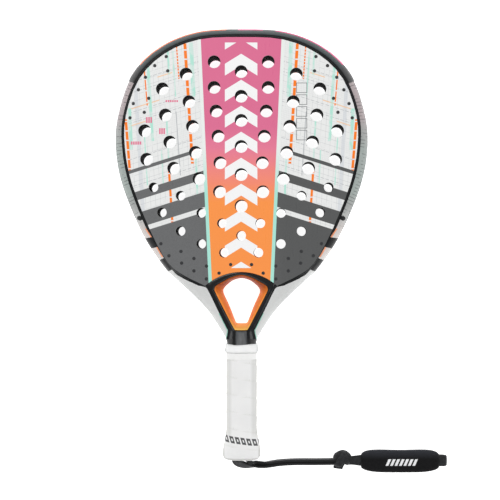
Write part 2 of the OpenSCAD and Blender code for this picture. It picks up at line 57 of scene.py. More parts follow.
# %% [markdown]
# ## The camera
#
# The racket lies on its rear face and is seen from straight above. A long lens far away keeps the
# holes' walls short, so the camera stands 1.3 m up. It stands a little to the right of the axis,
# which opens the right-hand holes to view more than the left-hand ones, and a small lens shift
# brings the racket back to the middle of the frame without turning the camera.

# %% Camera
bpy.context.scene.view_settings.view_transform = "Standard"
camera_data = bpy.data.cameras.new("camera")
camera_data.lens = 91.2
camera_data.sensor_width = 36.0
camera_data.clip_start = 0.01
camera = bpy.data.objects.new("camera", camera_data)
camera.location = (0.0380, 0.0, 1.324)
camera_data.shift_x = -0.0571
camera_data.shift_y = -0.0112
bpy.context.collection.objects.link(camera)
bpy.context.scene.camera = camera

# %% [markdown]
# ## Surfaces from grids of points
#
# Almost every part here is a profile carried along a path. Worked out with numpy, that is one
# array of points: along the path, around the profile, and xyz. `surface` turns such a grid into
# a mesh. Lengths are in millimetres until this one place, which turns them into metres.


# %% Grid to mesh
def surface(name, grid, hoop=False, sharp=40, values=None):
    """A mesh through a grid [along, around, xyz] in mm: each cell is one four-sided face.

    The last column joins the first and, with hoop, so does the last row. Open ends are closed by
    a fan of triangles about the end row's middle. Where the signed volume, the sum of
    a . (b x c) / 6 over the triangles, is below 0, the faces are turned round.
    """
    grid = np.asarray(grid, float)
    rows, columns = grid.shape[:2]
    i, j = np.meshgrid(np.arange(rows if hoop else rows - 1), np.arange(columns), indexing="ij")
    corners = ((i, j), (i + 1, j), (i + 1, j + 1), (i, j + 1))
    quads = np.stack([(a % rows) * columns + b % columns for a, b in corners], -1).reshape(-1, 4)
    points = grid.reshape(-1, 3)
    faces = quads.tolist()
    if not hoop:
        points = np.vstack([points, grid[0].mean(0), grid[-1].mean(0)])
        k = np.arange(columns)
        last, start = (rows - 1) * columns, rows * columns
        after = (k + 1) % columns
        faces += np.stack([np.full(columns, start), after, k], -1).tolist()
        faces += np.stack([np.full(columns, start + 1), last + k, last + after], -1).tolist()
    halves = [f[:3] for f in faces] + [[f[0], f[2], f[3]] for f in faces if len(f) == 4]
    a, b, c = (points[corner] for corner in np.array(halves).T)
    if np.einsum("ij,ij->", a, np.cross(b, c)) < 0:
        faces = [f[::-1] for f in faces]
    mesh = bpy.data.meshes.new(name)
    mesh.from_pydata((points * MM).tolist(), [], faces)
    for key, value in (values or {}).items():
        flat = np.broadcast_to(value, (rows, columns)).ravel()
        full = np.concatenate([flat, np.full(len(points) - len(flat), flat[-1])])
        mesh.attributes.new(key, "FLOAT", "POINT").data.foreach_set("value", full)
    mesh.polygons.foreach_set("use_smooth", np.ones(len(mesh.polygons), bool))
    mesh.set_sharp_from_angle(angle=np.radians(sharp))
    mesh.validate()
    piece = bpy.data.objects.new(name, mesh)
    bpy.context.collection.objects.link(piece)
    return piece


# %% [markdown]
# ## Smooth curves
#
# The outlines are given points with a smooth curve through them. A Catmull-Rom curve
# passes through each point and leaves it in the direction of the line between its neighbours.


# %% Curves through points
def smooth_curve(points, steps, before=None, after=None):
    """For each four points in a row, a, b, c and d, a cubic from b to c at u from 0 to 1.

    It is b + u/2 (c - a + u (2a - 5b + 4c - d + u (3 (b - c) + d - a))).
    """
    points = np.asarray(points, float)
    before = 2 * points[0] - points[1] if before is None else before
    after = 2 * points[-1] - points[-2] if after is None else after
    p = np.vstack([before, points, after])
    a, b, c, d = (p[n:len(p) - 3 + n, None] for n in range(4))
    u = (np.arange(steps) / steps)[None, :, None]
    curve = b + 0.5 * u * (c - a + u * (2 * a - 5 * b + 4 * c - d + u * (3 * (b - c) + d - a)))
    return np.vstack([curve.reshape(-1, points.shape[1]), points[-1]])


def half_curve(points, steps):
    """A smooth half outline that starts on the axis, so its point before the first is mirrored."""
    return smooth_curve(points, steps, before=[-points[1][0], points[1][1]])


def over_tip(half):
    """The whole outline, from the right neck over the tip to the left neck."""
    return np.vstack([half[::-1], half[1:] * [-1, 1]])


def lengths(path):
    """How far along the path each point is: the running sum of the steps between points."""
    return np.concatenate([[0], np.cumsum(np.linalg.norm(np.diff(path, axis=0), axis=1))])


def unit(vectors):
    """Each vector divided by its own length."""
    return vectors / np.linalg.norm(vectors, axis=1, keepdims=True)


def headings(path):
    """The path's direction at each point, from the step between the points beside it."""
    return unit(np.gradient(path, axis=0))


def full_turn(count):
    """Angles once round, evenly spaced."""
    return np.linspace(0, 2 * np.pi, count, endpoint=False)


def signed_power(value, power):
    """|v|^power with the sign of v. On a cosine and a sine it gives a superellipse."""
    return np.sign(value) * np.abs(value) ** power


def mix(a, b, share):
    """a at share 0, b at share 1, and in a straight line between."""
    return a + (b - a) * share


def ease(value, low, high):
    """0 below low, 1 above high, and 3u^2 - 2u^3 between."""
    u = np.clip((value - low) / (high - low), 0, 1)
    return u * u * (3 - 2 * u)


# %% [markdown]
# ## The wrist strap
#
# The strap is one length of flat nylon webbing, 11 mm wide and 3 mm thick. Both ends come out of
# slots in the butt cap and run side by side, standing on their edges, to an overhand knot. After
# the knot the webbing lies flat as a wrist loop, with a padded cuff over its upper layer.
# A curve with a bevel would give a round cord, so a rounded rectangle is carried along each
# route instead. The routes are the CAD's own, but for the loop's two layers by the knot, which
# part by 0.9 mm each way and are pinched to 0.76 of their width.

# %% Routes of the webbing
WEB_W, WEB_T = 11.0, 3.0
APART = 1.65  # from the strap's middle line to a strand's
slot_route = [[0, -214.5, 17], [4, -214.8, 17], [6.6, -216.6, 17], [7, -219, 17], [7, -221.5, 16.6]]
lead_left_route = [[-x, y, z] for x, y, z in slot_route] + [
    [-5.8, -224.2, 15], [-3, -226.6, 12.5], [1, -228.6, 9.5], [6, -230, 7.2], [15.2, -230.7, 6]]
lead_right_route = slot_route + [
    [7.4, -223.4, 14.5], [8.6, -225, 11.5], [10.6, -226.6, 8.6], [15.2, -227.3, 6]]
run_route = [
    [24, -229, 6], [30, -228.4, 6], [36, -227.4, 6], [44, -226.6, 6], [55, -226.1, 6],
    [66, -226, 6], [77, -226, 6], [88, -225.9, 6], [95, -225.7, 6], [99, -225.2, 6.4]]
loop_route = [
    [111, 8.6], [113.5, 9.2], [121, 9.4], [150, 9.4], [180, 9.4], [204, 9.4], [208.5, 9.2],
    [210.8, 8], [211.8, 5.6], [210.8, 3.2], [208.5, 1.9], [204, 1.7], [180, 1.7], [150, 1.7],
    [121, 1.7], [117, 1.9], [113.5, 2.6], [111, 3.4]]
LOOP_Y = -224.7


def side_by_side(route, shift):
    """The route moved across itself by shift, in plan."""
    route = np.asarray(route, float)
    along = headings(route[:, :2])
    moved = route.copy()
    moved[:, 0] -= along[:, 1] * shift
    moved[:, 1] += along[:, 0] * shift
    return moved


def webbing(name, path, across, width=WEB_W, thick=WEB_T, corner=4.0):
    """A flat band: the rounded rectangle |a|^corner + |b|^corner = 1 carried along the path.

    a runs along `across`, the direction of the width, and b along the path's other normal.
    Attributes give each point's place on the cloth, in mm: along it and across it.
    """
    path = np.asarray(path, float)
    along = headings(path)
    wide = np.broadcast_to(np.asarray(across, float), path.shape)
    wide = unit(wide - along * np.einsum("ij,ij->i", wide, along)[:, None])
    flat = np.cross(along, wide)
    angle = full_turn(40)
    a, b = (signed_power(wave, 2 / corner) for wave in (np.cos(angle), np.sin(angle)))
    half_w = np.broadcast_to(width, len(path))[:, None, None] / 2
    half_t = np.broadcast_to(thick, len(path))[:, None, None] / 2
    grid = (path[:, None] + half_w * a[None, :, None] * wide[:, None]
            + half_t * b[None, :, None] * flat[:, None])
    place = {"along": lengths(path)[:, None], "across": a[None] * WEB_W / 2}
    return surface(name, grid, values=place, sharp=60)


# %% The two strands and the loop
def strand(name, lead, side, *nodes):
    """One end of the webbing, from inside the butt cap to the knot, standing on its edge.

    Past its slot it lies over by (38 - 10 side) degrees times sin(pi share^0.55), where the share
    goes from 0 to 1 between two lengths along the strand.
    """
    slot_end, lean_end = 12.5, 42.5
    run = side_by_side(run_route, side * APART)
    path = smooth_curve(np.vstack([lead, [[19, -229 + side * APART, 6]], run]), 6)
    ahead = headings(path)
    beside = np.column_stack([-ahead[:, 1], ahead[:, 0], 0 * ahead[:, 0]])
    share = np.clip((lengths(path) - slot_end) / (lean_end - slot_end), 0, 1)
    lean = np.radians(38 - side * 10) * np.sin(np.pi * share ** 0.55)[:, None]
    piece = webbing(name, path, across=np.cos(lean) * [0, 0, 1] + np.sin(lean) * beside)
    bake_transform(piece)
    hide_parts(*nodes)
    return piece, path


strand_lower, lower_path = strand(
    "strap_strand_lower", lead_left_route, -1, "strap_lead_left", "strap_run_lower")
strand_upper, upper_path = strand(
    "strap_strand_upper", lead_right_route, 1, "strap_lead_right", "strap_run_upper")

loop_path = smooth_curve([[x, LOOP_Y, z] for x, z in loop_route], 8)
layer = np.sign(loop_path[:, 2] - 5.5)
loop_path[:, 1] += layer * 0.9 * (1 - ease(loop_path[:, 0], 124, 138))
pinch = 1 - 0.24 * (1 - ease(loop_path[:, 0], 112, 126))
wrist_loop = webbing("wrist_loop_webbing", loop_path, across=(0, 1, 0), width=WEB_W * pinch)
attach(wrist_loop, "strap")
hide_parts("wrist_loop")
for title, path in (("lower", lower_path), ("upper", upper_path), ("loop", loop_path)):
    print(title, "strand is", round(lengths(path)[-1]), "mm long")

# %% [markdown]
# ## The knot
#
# An overhand knot in doubled webbing shows one band lying slantwise round the bundle, with the
# strands bulging out of it at both sides, and the cut end standing out below. So it is made of
# the same things: a band wound round as a hoop, a core that swells and narrows, and the tail.

# %% Knot and tail
def turned(vector, degrees):
    """A vector turned about Z: x cos - y sin, x sin + y cos, z."""
    c, s = np.cos(np.radians(degrees)), np.sin(np.radians(degrees))
    x, y, z = np.moveaxis(np.asarray(vector, float), -1, 0)
    return np.stack([c * x - s * y, s * x + c * y, z], -1)


def knot_band(name, centre, lean, radii, width, thick, phase=0.0):
    """A webbing hoop: an ellipse about the strap, leaning in plan, with a rounded section.

    The band is gathered where it turns under: its width is (0.62 + 0.38 |sin turn|) of the full.
    """
    turn, angle = full_turn(72), full_turn(32)
    cos, sin = np.cos(turn), np.sin(turn)
    wave = 1 + 0.03 * np.sin(3 * turn + phase)
    out = np.stack([0 * turn, cos * radii[0], sin * radii[1]], -1) * wave[:, None]
    normal = unit(np.stack([0 * turn, cos / radii[0], sin / radii[1]], -1))
    a, b = signed_power(np.cos(angle), 0.8), np.sin(angle)
    slide = 1.2 * np.sin(turn + phase)
    grid = out[:, None] + normal[:, None] * (b * thick / 2)[None, :, None]
    narrow = 0.62 + 0.38 * np.abs(sin)
    grid[..., 0] += (a * width / 2)[None] * narrow[:, None] + slide[:, None]
    grid = turned(grid, lean) + centre
    place = {"along": (turn * sum(radii) / 2)[:, None], "across": (a * width / 2)[None]}
    return surface(name, grid, hoop=True, values=place, sharp=60)


def lump(name, rows):
    """Ellipses of [x, y, z, half width, half height] across X, with a smooth curve between."""
    rows = smooth_curve(rows, 5)
    angle = full_turn(40)
    ripple = 1 + 0.05 * np.cos(2 * angle)
    grid = np.stack([
        np.broadcast_to(rows[:, None, 0], (len(rows), len(angle))),
        rows[:, None, 1] + rows[:, None, 3] * ripple * np.cos(angle),
        rows[:, None, 2] + rows[:, None, 4] * ripple * np.sin(angle)], -1)
    place = {"along": rows[:, None, 0], "across": angle[None] * 2.0}
    return surface(name, grid, values=place)


knot_core = lump("knot_core", [
    [94.8, -224.2, 5.8, 3.8, 4.0], [96.2, -223.2, 6.3, 5.4, 5.0], [98.8, -222.3, 6.8, 6.4, 5.6],
    [102, -221.6, 7.0, 7.2, 5.8], [105.5, -221.2, 6.9, 7.3, 5.7], [109, -221.7, 6.7, 6.3, 5.4],
    [112, -222.6, 6.3, 5.2, 4.9], [114, -224.2, 6.2, 3.6, 4.4]])
knot_wrap = knot_band(
    "knot_wrap", centre=np.array([102.4, -222.6, 7.3]), lean=-36, radii=(7.8, 6.4),
    width=8.4, thick=3.2)
knot_turn = knot_band(
    "knot_turn", centre=np.array([108.6, -222.0, 6.9]), lean=26, radii=(6.1, 5.4),
    width=6.6, thick=2.6, phase=2.0)
tail_path = smooth_curve([[104, -224.2, 6.4], [102.2, -226.6, 7.4], [101, -229, 7.0],
                          [100.2, -231, 6.2], [99.8, -232.6, 5.4]], 5)
strap_tail = webbing("strap_tail_end", tail_path, across=(1, 0.1, 0), width=9.8, corner=6.0)
for piece in (knot_core, knot_wrap, knot_turn, strap_tail):
    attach(piece, "strap")
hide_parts("strap_knot")
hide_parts("strap_tail")

# %% [markdown]
# ## The moulded frame
#
# The frame is a hollow tube of carbon and glass fibre that runs round the head and comes down as
# two arms to the neck. Its outside swells from the edge of each face to a ridge at half depth.
# One section profile is carried along the outline. The profile's swell is a superellipse, which
# leaves the face level with it, so that the lacquer turns over the edge softly and catches light.

# %% Outlines, right half, from the tip to the neck
face_edge = [
    [0, 210.5], [43, 208], [78, 193.5], [103.5, 168], [117, 131], [118, 98.5],
    [111, 62], [92, 13.5], [74, -19], [58, -31.5], [41, -40], [35.5, -44],
    [31.5, -51], [23.5, -67.5], [15, -84.5], [13.6, -88], [15.4, -96.6]]
ridge = [
    [0, 221], [46, 218], [84, 202.5], [112.5, 174], [127.1, 133], [129.6, 98],
    [122, 58.5], [101, 9], [79, -24], [66, -37], [53, -49], [46, -56],
    [40, -62], [31, -73], [22.5, -86], [21.0, -88.4], [15.8, -97]]
arm_face = [
    [38.6, -35.6], [33.2, -39.6], [26.2, -47.6], [17.0, -66.4], [7.6, -84.2], [6.0, -87.6],
    [6.0, -96]]
arm_mid = [
    [38.6, -35.6], [31.8, -42], [19.6, -49.4], [13.2, -64.8], [6.6, -81.0], [5.6, -86],
    [6.0, -96]]
STEPS = 12
CORNER = 10 * STEPS
SKIN = 1.2


def inward(path, distance):
    """Each point moved across the path, towards the inside of the outline."""
    return path + distance * headings(path)[:, ::-1] * [1, -1]


edge_half = half_curve(face_edge, STEPS)
ridge_half = half_curve(ridge, STEPS)
pocket_half = inward(edge_half, 5.0)
pocket_half[:, 0] = np.maximum(pocket_half[:, 0], 0)
inner_face = np.vstack([pocket_half[:CORNER], smooth_curve(arm_face, STEPS)])
inner_mid = np.vstack([pocket_half[:CORNER], smooth_curve(arm_mid, STEPS)])
along_half = lengths(edge_half)


def along_at(y):
    """How far along the face edge, from the tip, the right half comes down to y."""
    return float(np.interp(-y, -edge_half[:, 1], along_half))


print("half of the face edge is", round(along_half[-1]), "mm long")

# %% [markdown]
# The rim is black lacquer for the first 3 mm outside the face. It thins to under 1 mm beside the
# lower patches, is at its widest at the lower corners, and is nothing along the arms, where the
# black lies inside the face edge instead. Three black patches run from it down the side. The mesh
# carries the distance to each border as an attribute, and the lacquer changes colour where that
# distance passes zero, so borders are sharp at any size.

# %% The frame's sections
def swell(t, power=1.15):
    """Share of the way from face edge to ridge, (1 - t^2)^(1/power), at height t half depths."""
    return np.maximum(1 - t * t, 0) ** (1 / power)


CROWN = 1.1
ACROSS = (0.02, 0.15, 0.32, 0.5, 0.68, 0.85, 0.97)
FAR = 999
RIM_STOPS = (18, 4, -22, -29, -40, -44)  # y on the face edge, with the rim's width at each
RIM_WIDTHS = (3.1, 3.1, 0.8, 0.9, 3.8, 3.2, 0, 0)  # one more for the tip, one for the arms
PATCHES = ((29.2, 24.6, 8.5), (7.6, -2.4, FAR), (-13.6, -24.8, FAR))  # from y, to y, reach


def frame_grid():
    """Sections out over the ridge from face to face, and back over the arm's crown inside.

    Out from the edge: edge + (crest - edge) swell(t) at height half t. Back across an arm: the
    height falls by CROWN (2 c - 1)^2 towards both of its borders, at share c of the way across.
    The arms lose 3.4 mm of each half depth on their way to the neck. The patches slant: each
    begins and ends where along + 0.35 out passes its two lengths.
    """
    edge, crest = over_tip(edge_half), over_tip(ridge_half)
    face, mid = over_tip(inner_face), over_tip(inner_mid)
    stations = len(edge)
    station = np.abs(np.arange(stations) - stations // 2)
    y = edge[:, 1]
    half = MID_Z - 3.4 * ease(-y, 84, 103)
    t = np.sin(np.linspace(np.pi / 2, -np.pi / 2, 33))
    seated = station <= CORNER + 3
    drop = np.where(seated, SKIN + 0.03, 0.0)
    inner_t = np.linspace(-1, 1, 9)
    arm = ease(station, CORNER + 2, CORNER + 22)
    outer = mix(edge[:, None], crest[:, None], swell(t)[None, :, None])
    outer = np.dstack([outer, MID_Z + (half - CROWN * arm)[:, None] * t])
    wall = mix(face[:, None], mid[:, None], swell(inner_t, 1.0)[None, :, None])
    wall = np.dstack([wall, MID_Z + (half - drop - CROWN * arm)[:, None] * inner_t])
    lips = []
    for side, shares in ((-1, ACROSS), (1, ACROSS[::-1])):
        for share in shares:
            plan = mix(edge, face, np.where(seated, share * 0.5, share)[:, None])
            height = half - drop - CROWN * arm * (2 * share - 1) ** 2
            lips.append(np.column_stack([plan, MID_Z + side * height])[:, None])
    count = len(ACROSS)
    grid = np.concatenate([outer, *lips[:count], wall, *lips[count:]], axis=1)
    along = np.interp(station, np.arange(len(along_half)), along_half)
    out = np.linalg.norm(outer[..., :2] - edge[:, None], axis=2)
    rim_stops = [0, *map(along_at, RIM_STOPS), FAR]
    rim = out - np.interp(along, rim_stops, RIM_WIDTHS)[:, None]
    inside = np.full((stations, grid.shape[1] - len(t)), -2.0)
    slanted = along[:, None] + 0.35 * out
    patch = np.max([np.min([slanted - along_at(top), along_at(foot) - slanted, reach - out], axis=0)
                    for top, foot, reach in PATCHES], axis=0)
    pad = np.full_like(inside, -9.0)
    level = np.concatenate([np.abs(t), np.ones(inside.shape[1])])
    return grid, {
        "rim": np.hstack([rim, inside]), "patch": np.hstack([patch, pad]), "level": level[None],
        "along": np.broadcast_to(along[:, None], grid.shape[:2])}


grid, marks = frame_grid()
frame_moulding = surface("frame_moulding", grid, values=marks, sharp=50)
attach(frame_moulding, "racket")
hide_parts("frame")

# %% [markdown]
# ## The head protector
#
# A strip of tough tape is let into the rim over the tip, where the racket meets the court. Its
# two ends are thicker grey bumpers, and between them a broad coloured line runs along the ridge,
# with two gaps. It follows the frame's own surface, a fraction proud, and thins to its borders.

# %% Protector strip
PROTECTOR_END = along_at(163.5)


def protector_grid():
    """The frame's own sections over the tip, swell(t) of the way out, plus the tape's lift.

    The lift is 0.45 mm, eased to nothing at the ends and borders, and half as much again on the
    bumpers. The tape's underside lies 0.6 mm inside the frame's surface.
    """
    edge, crest = over_tip(edge_half), over_tip(ridge_half)
    middle = len(edge) // 2
    station = np.abs(np.arange(len(edge)) - middle)
    along = np.interp(station, np.arange(len(along_half)), along_half)
    keep = along <= PROTECTOR_END + 4
    edge, crest, along = edge[keep], crest[keep], along[keep]
    t = np.linspace(0.93, -0.93, 31)
    proud = 0.45 * ease(PROTECTOR_END + 4 - along, 0, 5)[:, None] * ease(0.93 - np.abs(t), 0, 0.12)
    bumper = 0.5 * ease(along, along_at(192), along_at(189))[:, None]
    wide = np.linalg.norm(crest - edge, axis=1)[:, None]
    lift = (proud * (1 + bumper) + 0.02) / wide
    rows = []
    for layer in (lift, lift * 0 - 0.6 / wide):
        plan = mix(edge[:, None], crest[:, None], (swell(t)[None] + layer)[..., None])
        rows.append(np.dstack([plan, np.broadcast_to(MID_Z + MID_Z * t, plan.shape[:2])]))
    grid = np.concatenate([rows[0], rows[1][:, ::-1]], axis=1)
    across = np.concatenate([t, t[::-1]])
    return grid, {"along": along[:, None], "across": across[None]}


grid, marks = protector_grid()
head_protector = surface("head_protector_tape", grid, values=marks, sharp=50)
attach(head_protector, "racket")
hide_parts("head_protector")

# %% [markdown]
# ## The throat
#
# Between the arms the throat is open. A bridge closes the head above it, and a coloured liner
# goes all the way round the opening. The liner's wall swells inwards to half depth, so from the
# front its slope shows as a wide band. Each is one closed profile carried round or across.

# %% Bridge
throat_face = [
    [0, -31], [10, -33.4], [18, -37.5], [25.5, -42], [27, -45],
    [26, -49], [17, -67], [7.5, -85], [5, -87], [0, -87.2]]
throat_mid = [
    [0, -33.5], [9, -35.8], [15, -40], [18.8, -44], [20, -47.5],
    [18.8, -52], [13.3, -64.5], [7.2, -79], [5, -82], [0, -82.4]]
ARC_R, ARC_TOP = 54.5, -28.0


def arc_point(degrees, radius):
    """A point of the face sheet's lower edge, which is an arc about a centre below it."""
    angle = np.radians(degrees)
    return np.stack([radius * np.sin(angle), ARC_TOP - ARC_R + radius * np.cos(angle)], -1)


def bridge_grid():
    """Profiles across the throat: down the opening's wall, up in the face sheets' pockets.

    The wall is 1 - t^2 of the way from the face outline to the middle one, at height t. Front
    and rear fall by 0.6 (2 c - 1)^2 towards both borders, at share c of the way to the sheet.
    """
    side = np.linspace(-41, 41, 65)
    opening = half_curve(throat_face, STEPS)
    middle = half_curve(throat_mid, STEPS)
    spot = np.abs(side) / 38 * 4.5 * STEPS
    f, m = (np.stack([np.sign(side) * np.interp(spot, np.arange(len(c)), c[:, 0]),
                      np.interp(spot, np.arange(len(c)), c[:, 1])], -1)
            for c in (opening, middle))
    a, w = arc_point(side, ARC_R), arc_point(side, ARC_R + 4)
    t = np.sin(np.linspace(np.pi / 2, -np.pi / 2, 17))
    under = mix(f[:, None], m[:, None], swell(t, 1.0)[None, :, None])
    under = np.dstack([under, np.broadcast_to(MID_Z + (MID_Z - 0.6) * t, under.shape[:2])])
    parts = [under]
    rise = [(share, 0.6 * (2 * share - 1) ** 2) for share in (0.1, 0.25, 0.4, 0.6, 0.75, 0.9, 1)]
    rear = rise + [(1, SKIN + 0.02), (2, SKIN + 0.02)]
    for share, z in rear + [(share, DEPTH - z) for share, z in rear[::-1]]:
        plan = mix(f, a, share) if share <= 1 else w
        parts.append(np.column_stack([plan, np.full(len(plan), z)])[:, None])
    return np.concatenate(parts, axis=1)


throat_bridge = surface("bridge_moulding", bridge_grid(), sharp=50)
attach(throat_bridge, "racket")
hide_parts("throat_bridge")

# %% Liner
def liner_grid():
    """Rings round the opening, 1 - t^2 of the way from the face outline to the middle one.

    They go down the liner's outer wall and up its inner one, which stands 1.2 mm further in.
    """
    face, mid = half_curve(throat_face, STEPS), half_curve(throat_mid, STEPS)
    face, mid = (np.vstack([c, c[-2:0:-1] * [-1, 1]]) for c in (face, mid))
    centre = np.array([0, -56.0])
    t = np.sin(np.linspace(-np.pi / 2, np.pi / 2, 25))

    def wall(shrink, rows):
        """Both outlines moved by shrink mm towards the opening's centre."""
        f, m = (plan + unit(centre - plan) * shrink for plan in (face, mid))
        plan = mix(f[:, None], m[:, None], swell(rows, 1.0)[None, :, None])
        return np.dstack([plan, np.broadcast_to(MID_Z + (MID_Z - 0.25) * rows, plan.shape[:2])])

    return np.concatenate([wall(0.1, t), wall(1.3, t[::-1])], axis=1)


throat_liner = surface("throat_liner_skin", liner_grid(), hoop=True, sharp=60)
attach(throat_liner, "racket")
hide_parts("throat_liner")

# %% [markdown]
# ## The handle
#
# The neck, the shaft, the grip and the butt are all eight-sided with rounded corners. One helper
# gives such a ring, and each part is a row of rings. The neck widens out of the arms and narrows
# again to the collar. Its broad front flat and its bevels are what catch the light.

# %% Eight-sided rings
def ring(y, half_w, half_d, flat_w, flat_d, soft):
    """An octagon across Y with each corner replaced by the curve between points `soft` away.

    The curve is (1 - s)^2 a + 2 s (1 - s) c + s^2 b, from a before the corner c to b after it.
    """
    corners = np.array([
        [half_w, -flat_d], [half_w, flat_d], [flat_w, half_d], [-flat_w, half_d],
        [-half_w, flat_d], [-half_w, -flat_d], [-flat_w, -half_d], [flat_w, -half_d]])
    before, after = np.roll(corners, 1, 0), np.roll(corners, -1, 0)

    def towards(other):
        """Each corner moved by soft towards the other point, but under half of the way."""
        step = other - corners
        size = np.linalg.norm(step, axis=1, keepdims=True)
        return corners + step / size * np.minimum(soft, 0.48 * size)

    a, b = towards(before)[:, None], towards(after)[:, None]
    s = np.linspace(0, 1, 8)[None, :, None]
    plan = ((1 - s) ** 2 * a + 2 * s * (1 - s) * corners[:, None] + s ** 2 * b).reshape(-1, 2)
    return np.column_stack([plan[:, 0], np.full(len(plan), y), MID_Z + plan[:, 1]])


def rings(stations, steps=4):
    """Rings between the given stations of [y, half_w, half_d, flat_w, flat_d, soft]."""
    return np.stack([ring(*row) for row in smooth_curve(stations, steps)])


neck = surface("neck_moulding", rings([
    [-84.5, 8.6, 10.0, 5.0, 5, 3], [-86.4, 11.0, 14.6, 5.2, 7, 3], [-88.4, 14.6, 17.8, 5.4, 7, 3],
    [-92, 16.3, 17.4, 5.6, 6, 4], [-95.5, 16.4, 16.6, 6.0, 6, 4], [-99, 15.6, 15.6, 6.6, 6, 4],
    [-102.6, 14.6, 14.7, 7.4, 6.4, 4], [-104.5, 12.9, 12.2, 7, 6, 3],
    [-150, 12.7, 11.3, 7, 6.2, 2], [-217, 12.7, 11.3, 7, 6.2, 2]]), sharp=28)
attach(neck, "racket")
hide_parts("handle_shaft")

# %% [markdown]
# ## The wound grip
#
# The overgrip is a tape wound down the handle in a helix. Each turn lies on the edge of the turn
# before, and shows as a low slanting step. The step's height depends on one number: how many
# turns down a point is, which is its distance down plus its share of the way round.

# %% Overgrip
SHAFT_W, SHAFT_D, BEVEL = 25.5, 22.7, 0.55
LAP = 17.5
FLARE_Y, ROUND_Y = -186.0, -216.0


def handle_rings(rows, soft):
    """Rings of the shaft's own section for rows of [y, growth]."""
    out = []
    for y, g in rows:
        w, d = SHAFT_W / 2 + g, SHAFT_D / 2 + g
        out.append(ring(y, w, d, w * BEVEL, d * BEVEL, soft))
    return np.array(out)


def flare(y):
    """How far the handle swells towards the butt: 4.2 mm times 3u^2 - 2u^3."""
    return 4.2 * ease(-y, -FLARE_Y, -ROUND_Y)


def overgrip_grid():
    """Rings down the handle, scaled out by the lap's step: 0.32 (1 - phase)^0.6 mm.

    Phase is what (-124.2 - y) / LAP + angle / (2 pi), the turns so far, has over a whole number.
    """
    y = np.concatenate([np.arange(-111.2, -217.6, -0.5), [-218.6, -219.4, -220.0, -220.35]])
    end = np.interp(-y, [214, 216.5, 218.3, 219.4, 220.35], [0, 0.3, 0.95, 1.8, 3.2])
    growth = 2.9 + flare(y) * 0.95 - end
    outer = handle_rings(np.column_stack([y, growth]), 4.2)
    angle = np.arctan2(outer[..., 2] - MID_Z, outer[..., 0])
    turns = (-124.2 - y)[:, None] / LAP + angle / (2 * np.pi)
    phase = turns % 1
    height = 0.32 * ease(phase, 0.0, 0.05) * (1 - phase) ** 0.6 * (1 - ease(-y, 183, 192))[:, None]
    dimple = 0.05 * np.sin(y[:, None] / 2.9 + 3 * angle) * np.sin(angle * 5 + 1.7)
    radius = np.linalg.norm(outer[..., [0, 2]] - [0, MID_Z], axis=2)
    scale = 1 + (height + dimple - 0.1) / radius
    outer[..., 0] *= scale
    outer[..., 2] = MID_Z + (outer[..., 2] - MID_Z) * scale
    inner = handle_rings([[-220.2, 2.5], [-216, 4.9], [-206, 3.6], [-186, 2.3], [-111.2, 2.3]], 4.2)
    hidden = np.full(inner.shape[:2], 0.5)
    return np.concatenate([outer, inner]), {"lap": np.concatenate([phase, hidden])}


grid, marks = overgrip_grid()
overgrip = surface("overgrip_winding", grid, hoop=True, values=marks, sharp=60)
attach(overgrip, "racket")
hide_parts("overgrip")
print("overgrip turns:", round((217 - 111) / LAP, 1))

# %% [markdown]
# The top end of the winding is held by a thin finishing tape, and a soft rubber collar is rolled
# over it. The collar was stretched on, so its top edge runs in a slow wave. The butt cap closes
# the other end, with one slot for each end of the strap, cut by a Boolean modifier.

# %% Tape, collar and butt cap
def band_round(name, rows, inner, node, soft=4.0, wave=0.0):
    """A hoop round the handle: rows outside going down, then inside coming up.

    Its top edge runs up and down by wave (sin(2a + 0.6) + sin(5a + 2) / 2) at angle a.
    """
    grid = handle_rings(list(rows) + list(inner), soft)
    angle = np.arctan2(grid[..., 2] - MID_Z, grid[..., 0])
    top = ease(grid[..., 1], -110, -104)
    grid[..., 1] += wave * top * (np.sin(2 * angle + 0.6) + 0.5 * np.sin(5 * angle + 2))
    piece = surface(name, grid, hoop=True, sharp=60)
    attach(piece, "racket")
    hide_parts(node)
    return piece


tape_rows = [[-111.3, 2.98], [-111.5, 3.16], [-112, 3.22], [-114.5, 3.16], [-117.1, 3.22],
             [-117.5, 3.14], [-117.6, 2.98]]
finishing_tape = band_round("finishing_tape_band", smooth_curve(tape_rows, 3),
                            [[-117.4, 2.9], [-111.4, 2.9]], "finishing_tape")
collar_rows = [[-102.1, 0.6], [-102.0, 1.8], [-102.3, 3.2], [-103.2, 4.0], [-104.4, 4.3],
               [-105.8, 4.2], [-106.8, 4.5], [-108.2, 4.9], [-109.4, 4.8], [-110.4, 4.1],
               [-110.8, 3.05]]
collar = band_round("grip_collar_ring", smooth_curve(collar_rows, 4),
                    [[-110.7, 2.7], [-106.3, 2.7], [-105.6, 0.4], [-104, 0.3]],
                    "grip_collar", soft=5.0, wave=0.42)

cap_rows = [[-213, 1.0], [-218.2, 0.1], [-218.2, -7], [-218.2, -11], [-221, -11], [-221, -6],
            [-221, -2], [-220.9, 0.2], [-220.5, 1.6], [-219.8, 2.6], [-218.6, 3.2], [-216, 3.1],
            [-212, 2.6]]
butt_cap = surface("butt_cap_end", handle_rings(cap_rows, 4.0), hoop=True, sharp=35)
turn = full_turn(32)
cutters = []
for side in (-1, 1):
    hole = np.stack([signed_power(np.cos(turn), 0.4) * 2.1 + side * 7, 0 * turn,
                     signed_power(np.sin(turn), 0.4) * 6 + 17], -1)
    cutters.append(surface("slot_cutter", np.stack([hole + [0, -223, 0], hole + [0, -210, 0]])))
    cut = butt_cap.modifiers.new("slot", "BOOLEAN")
    cut.object, cut.operation, cut.solver = cutters[-1], "DIFFERENCE", "EXACT"
shown = butt_cap.evaluated_get(bpy.context.evaluated_depsgraph_get())
slotted = bpy.data.meshes.new_from_object(shown)
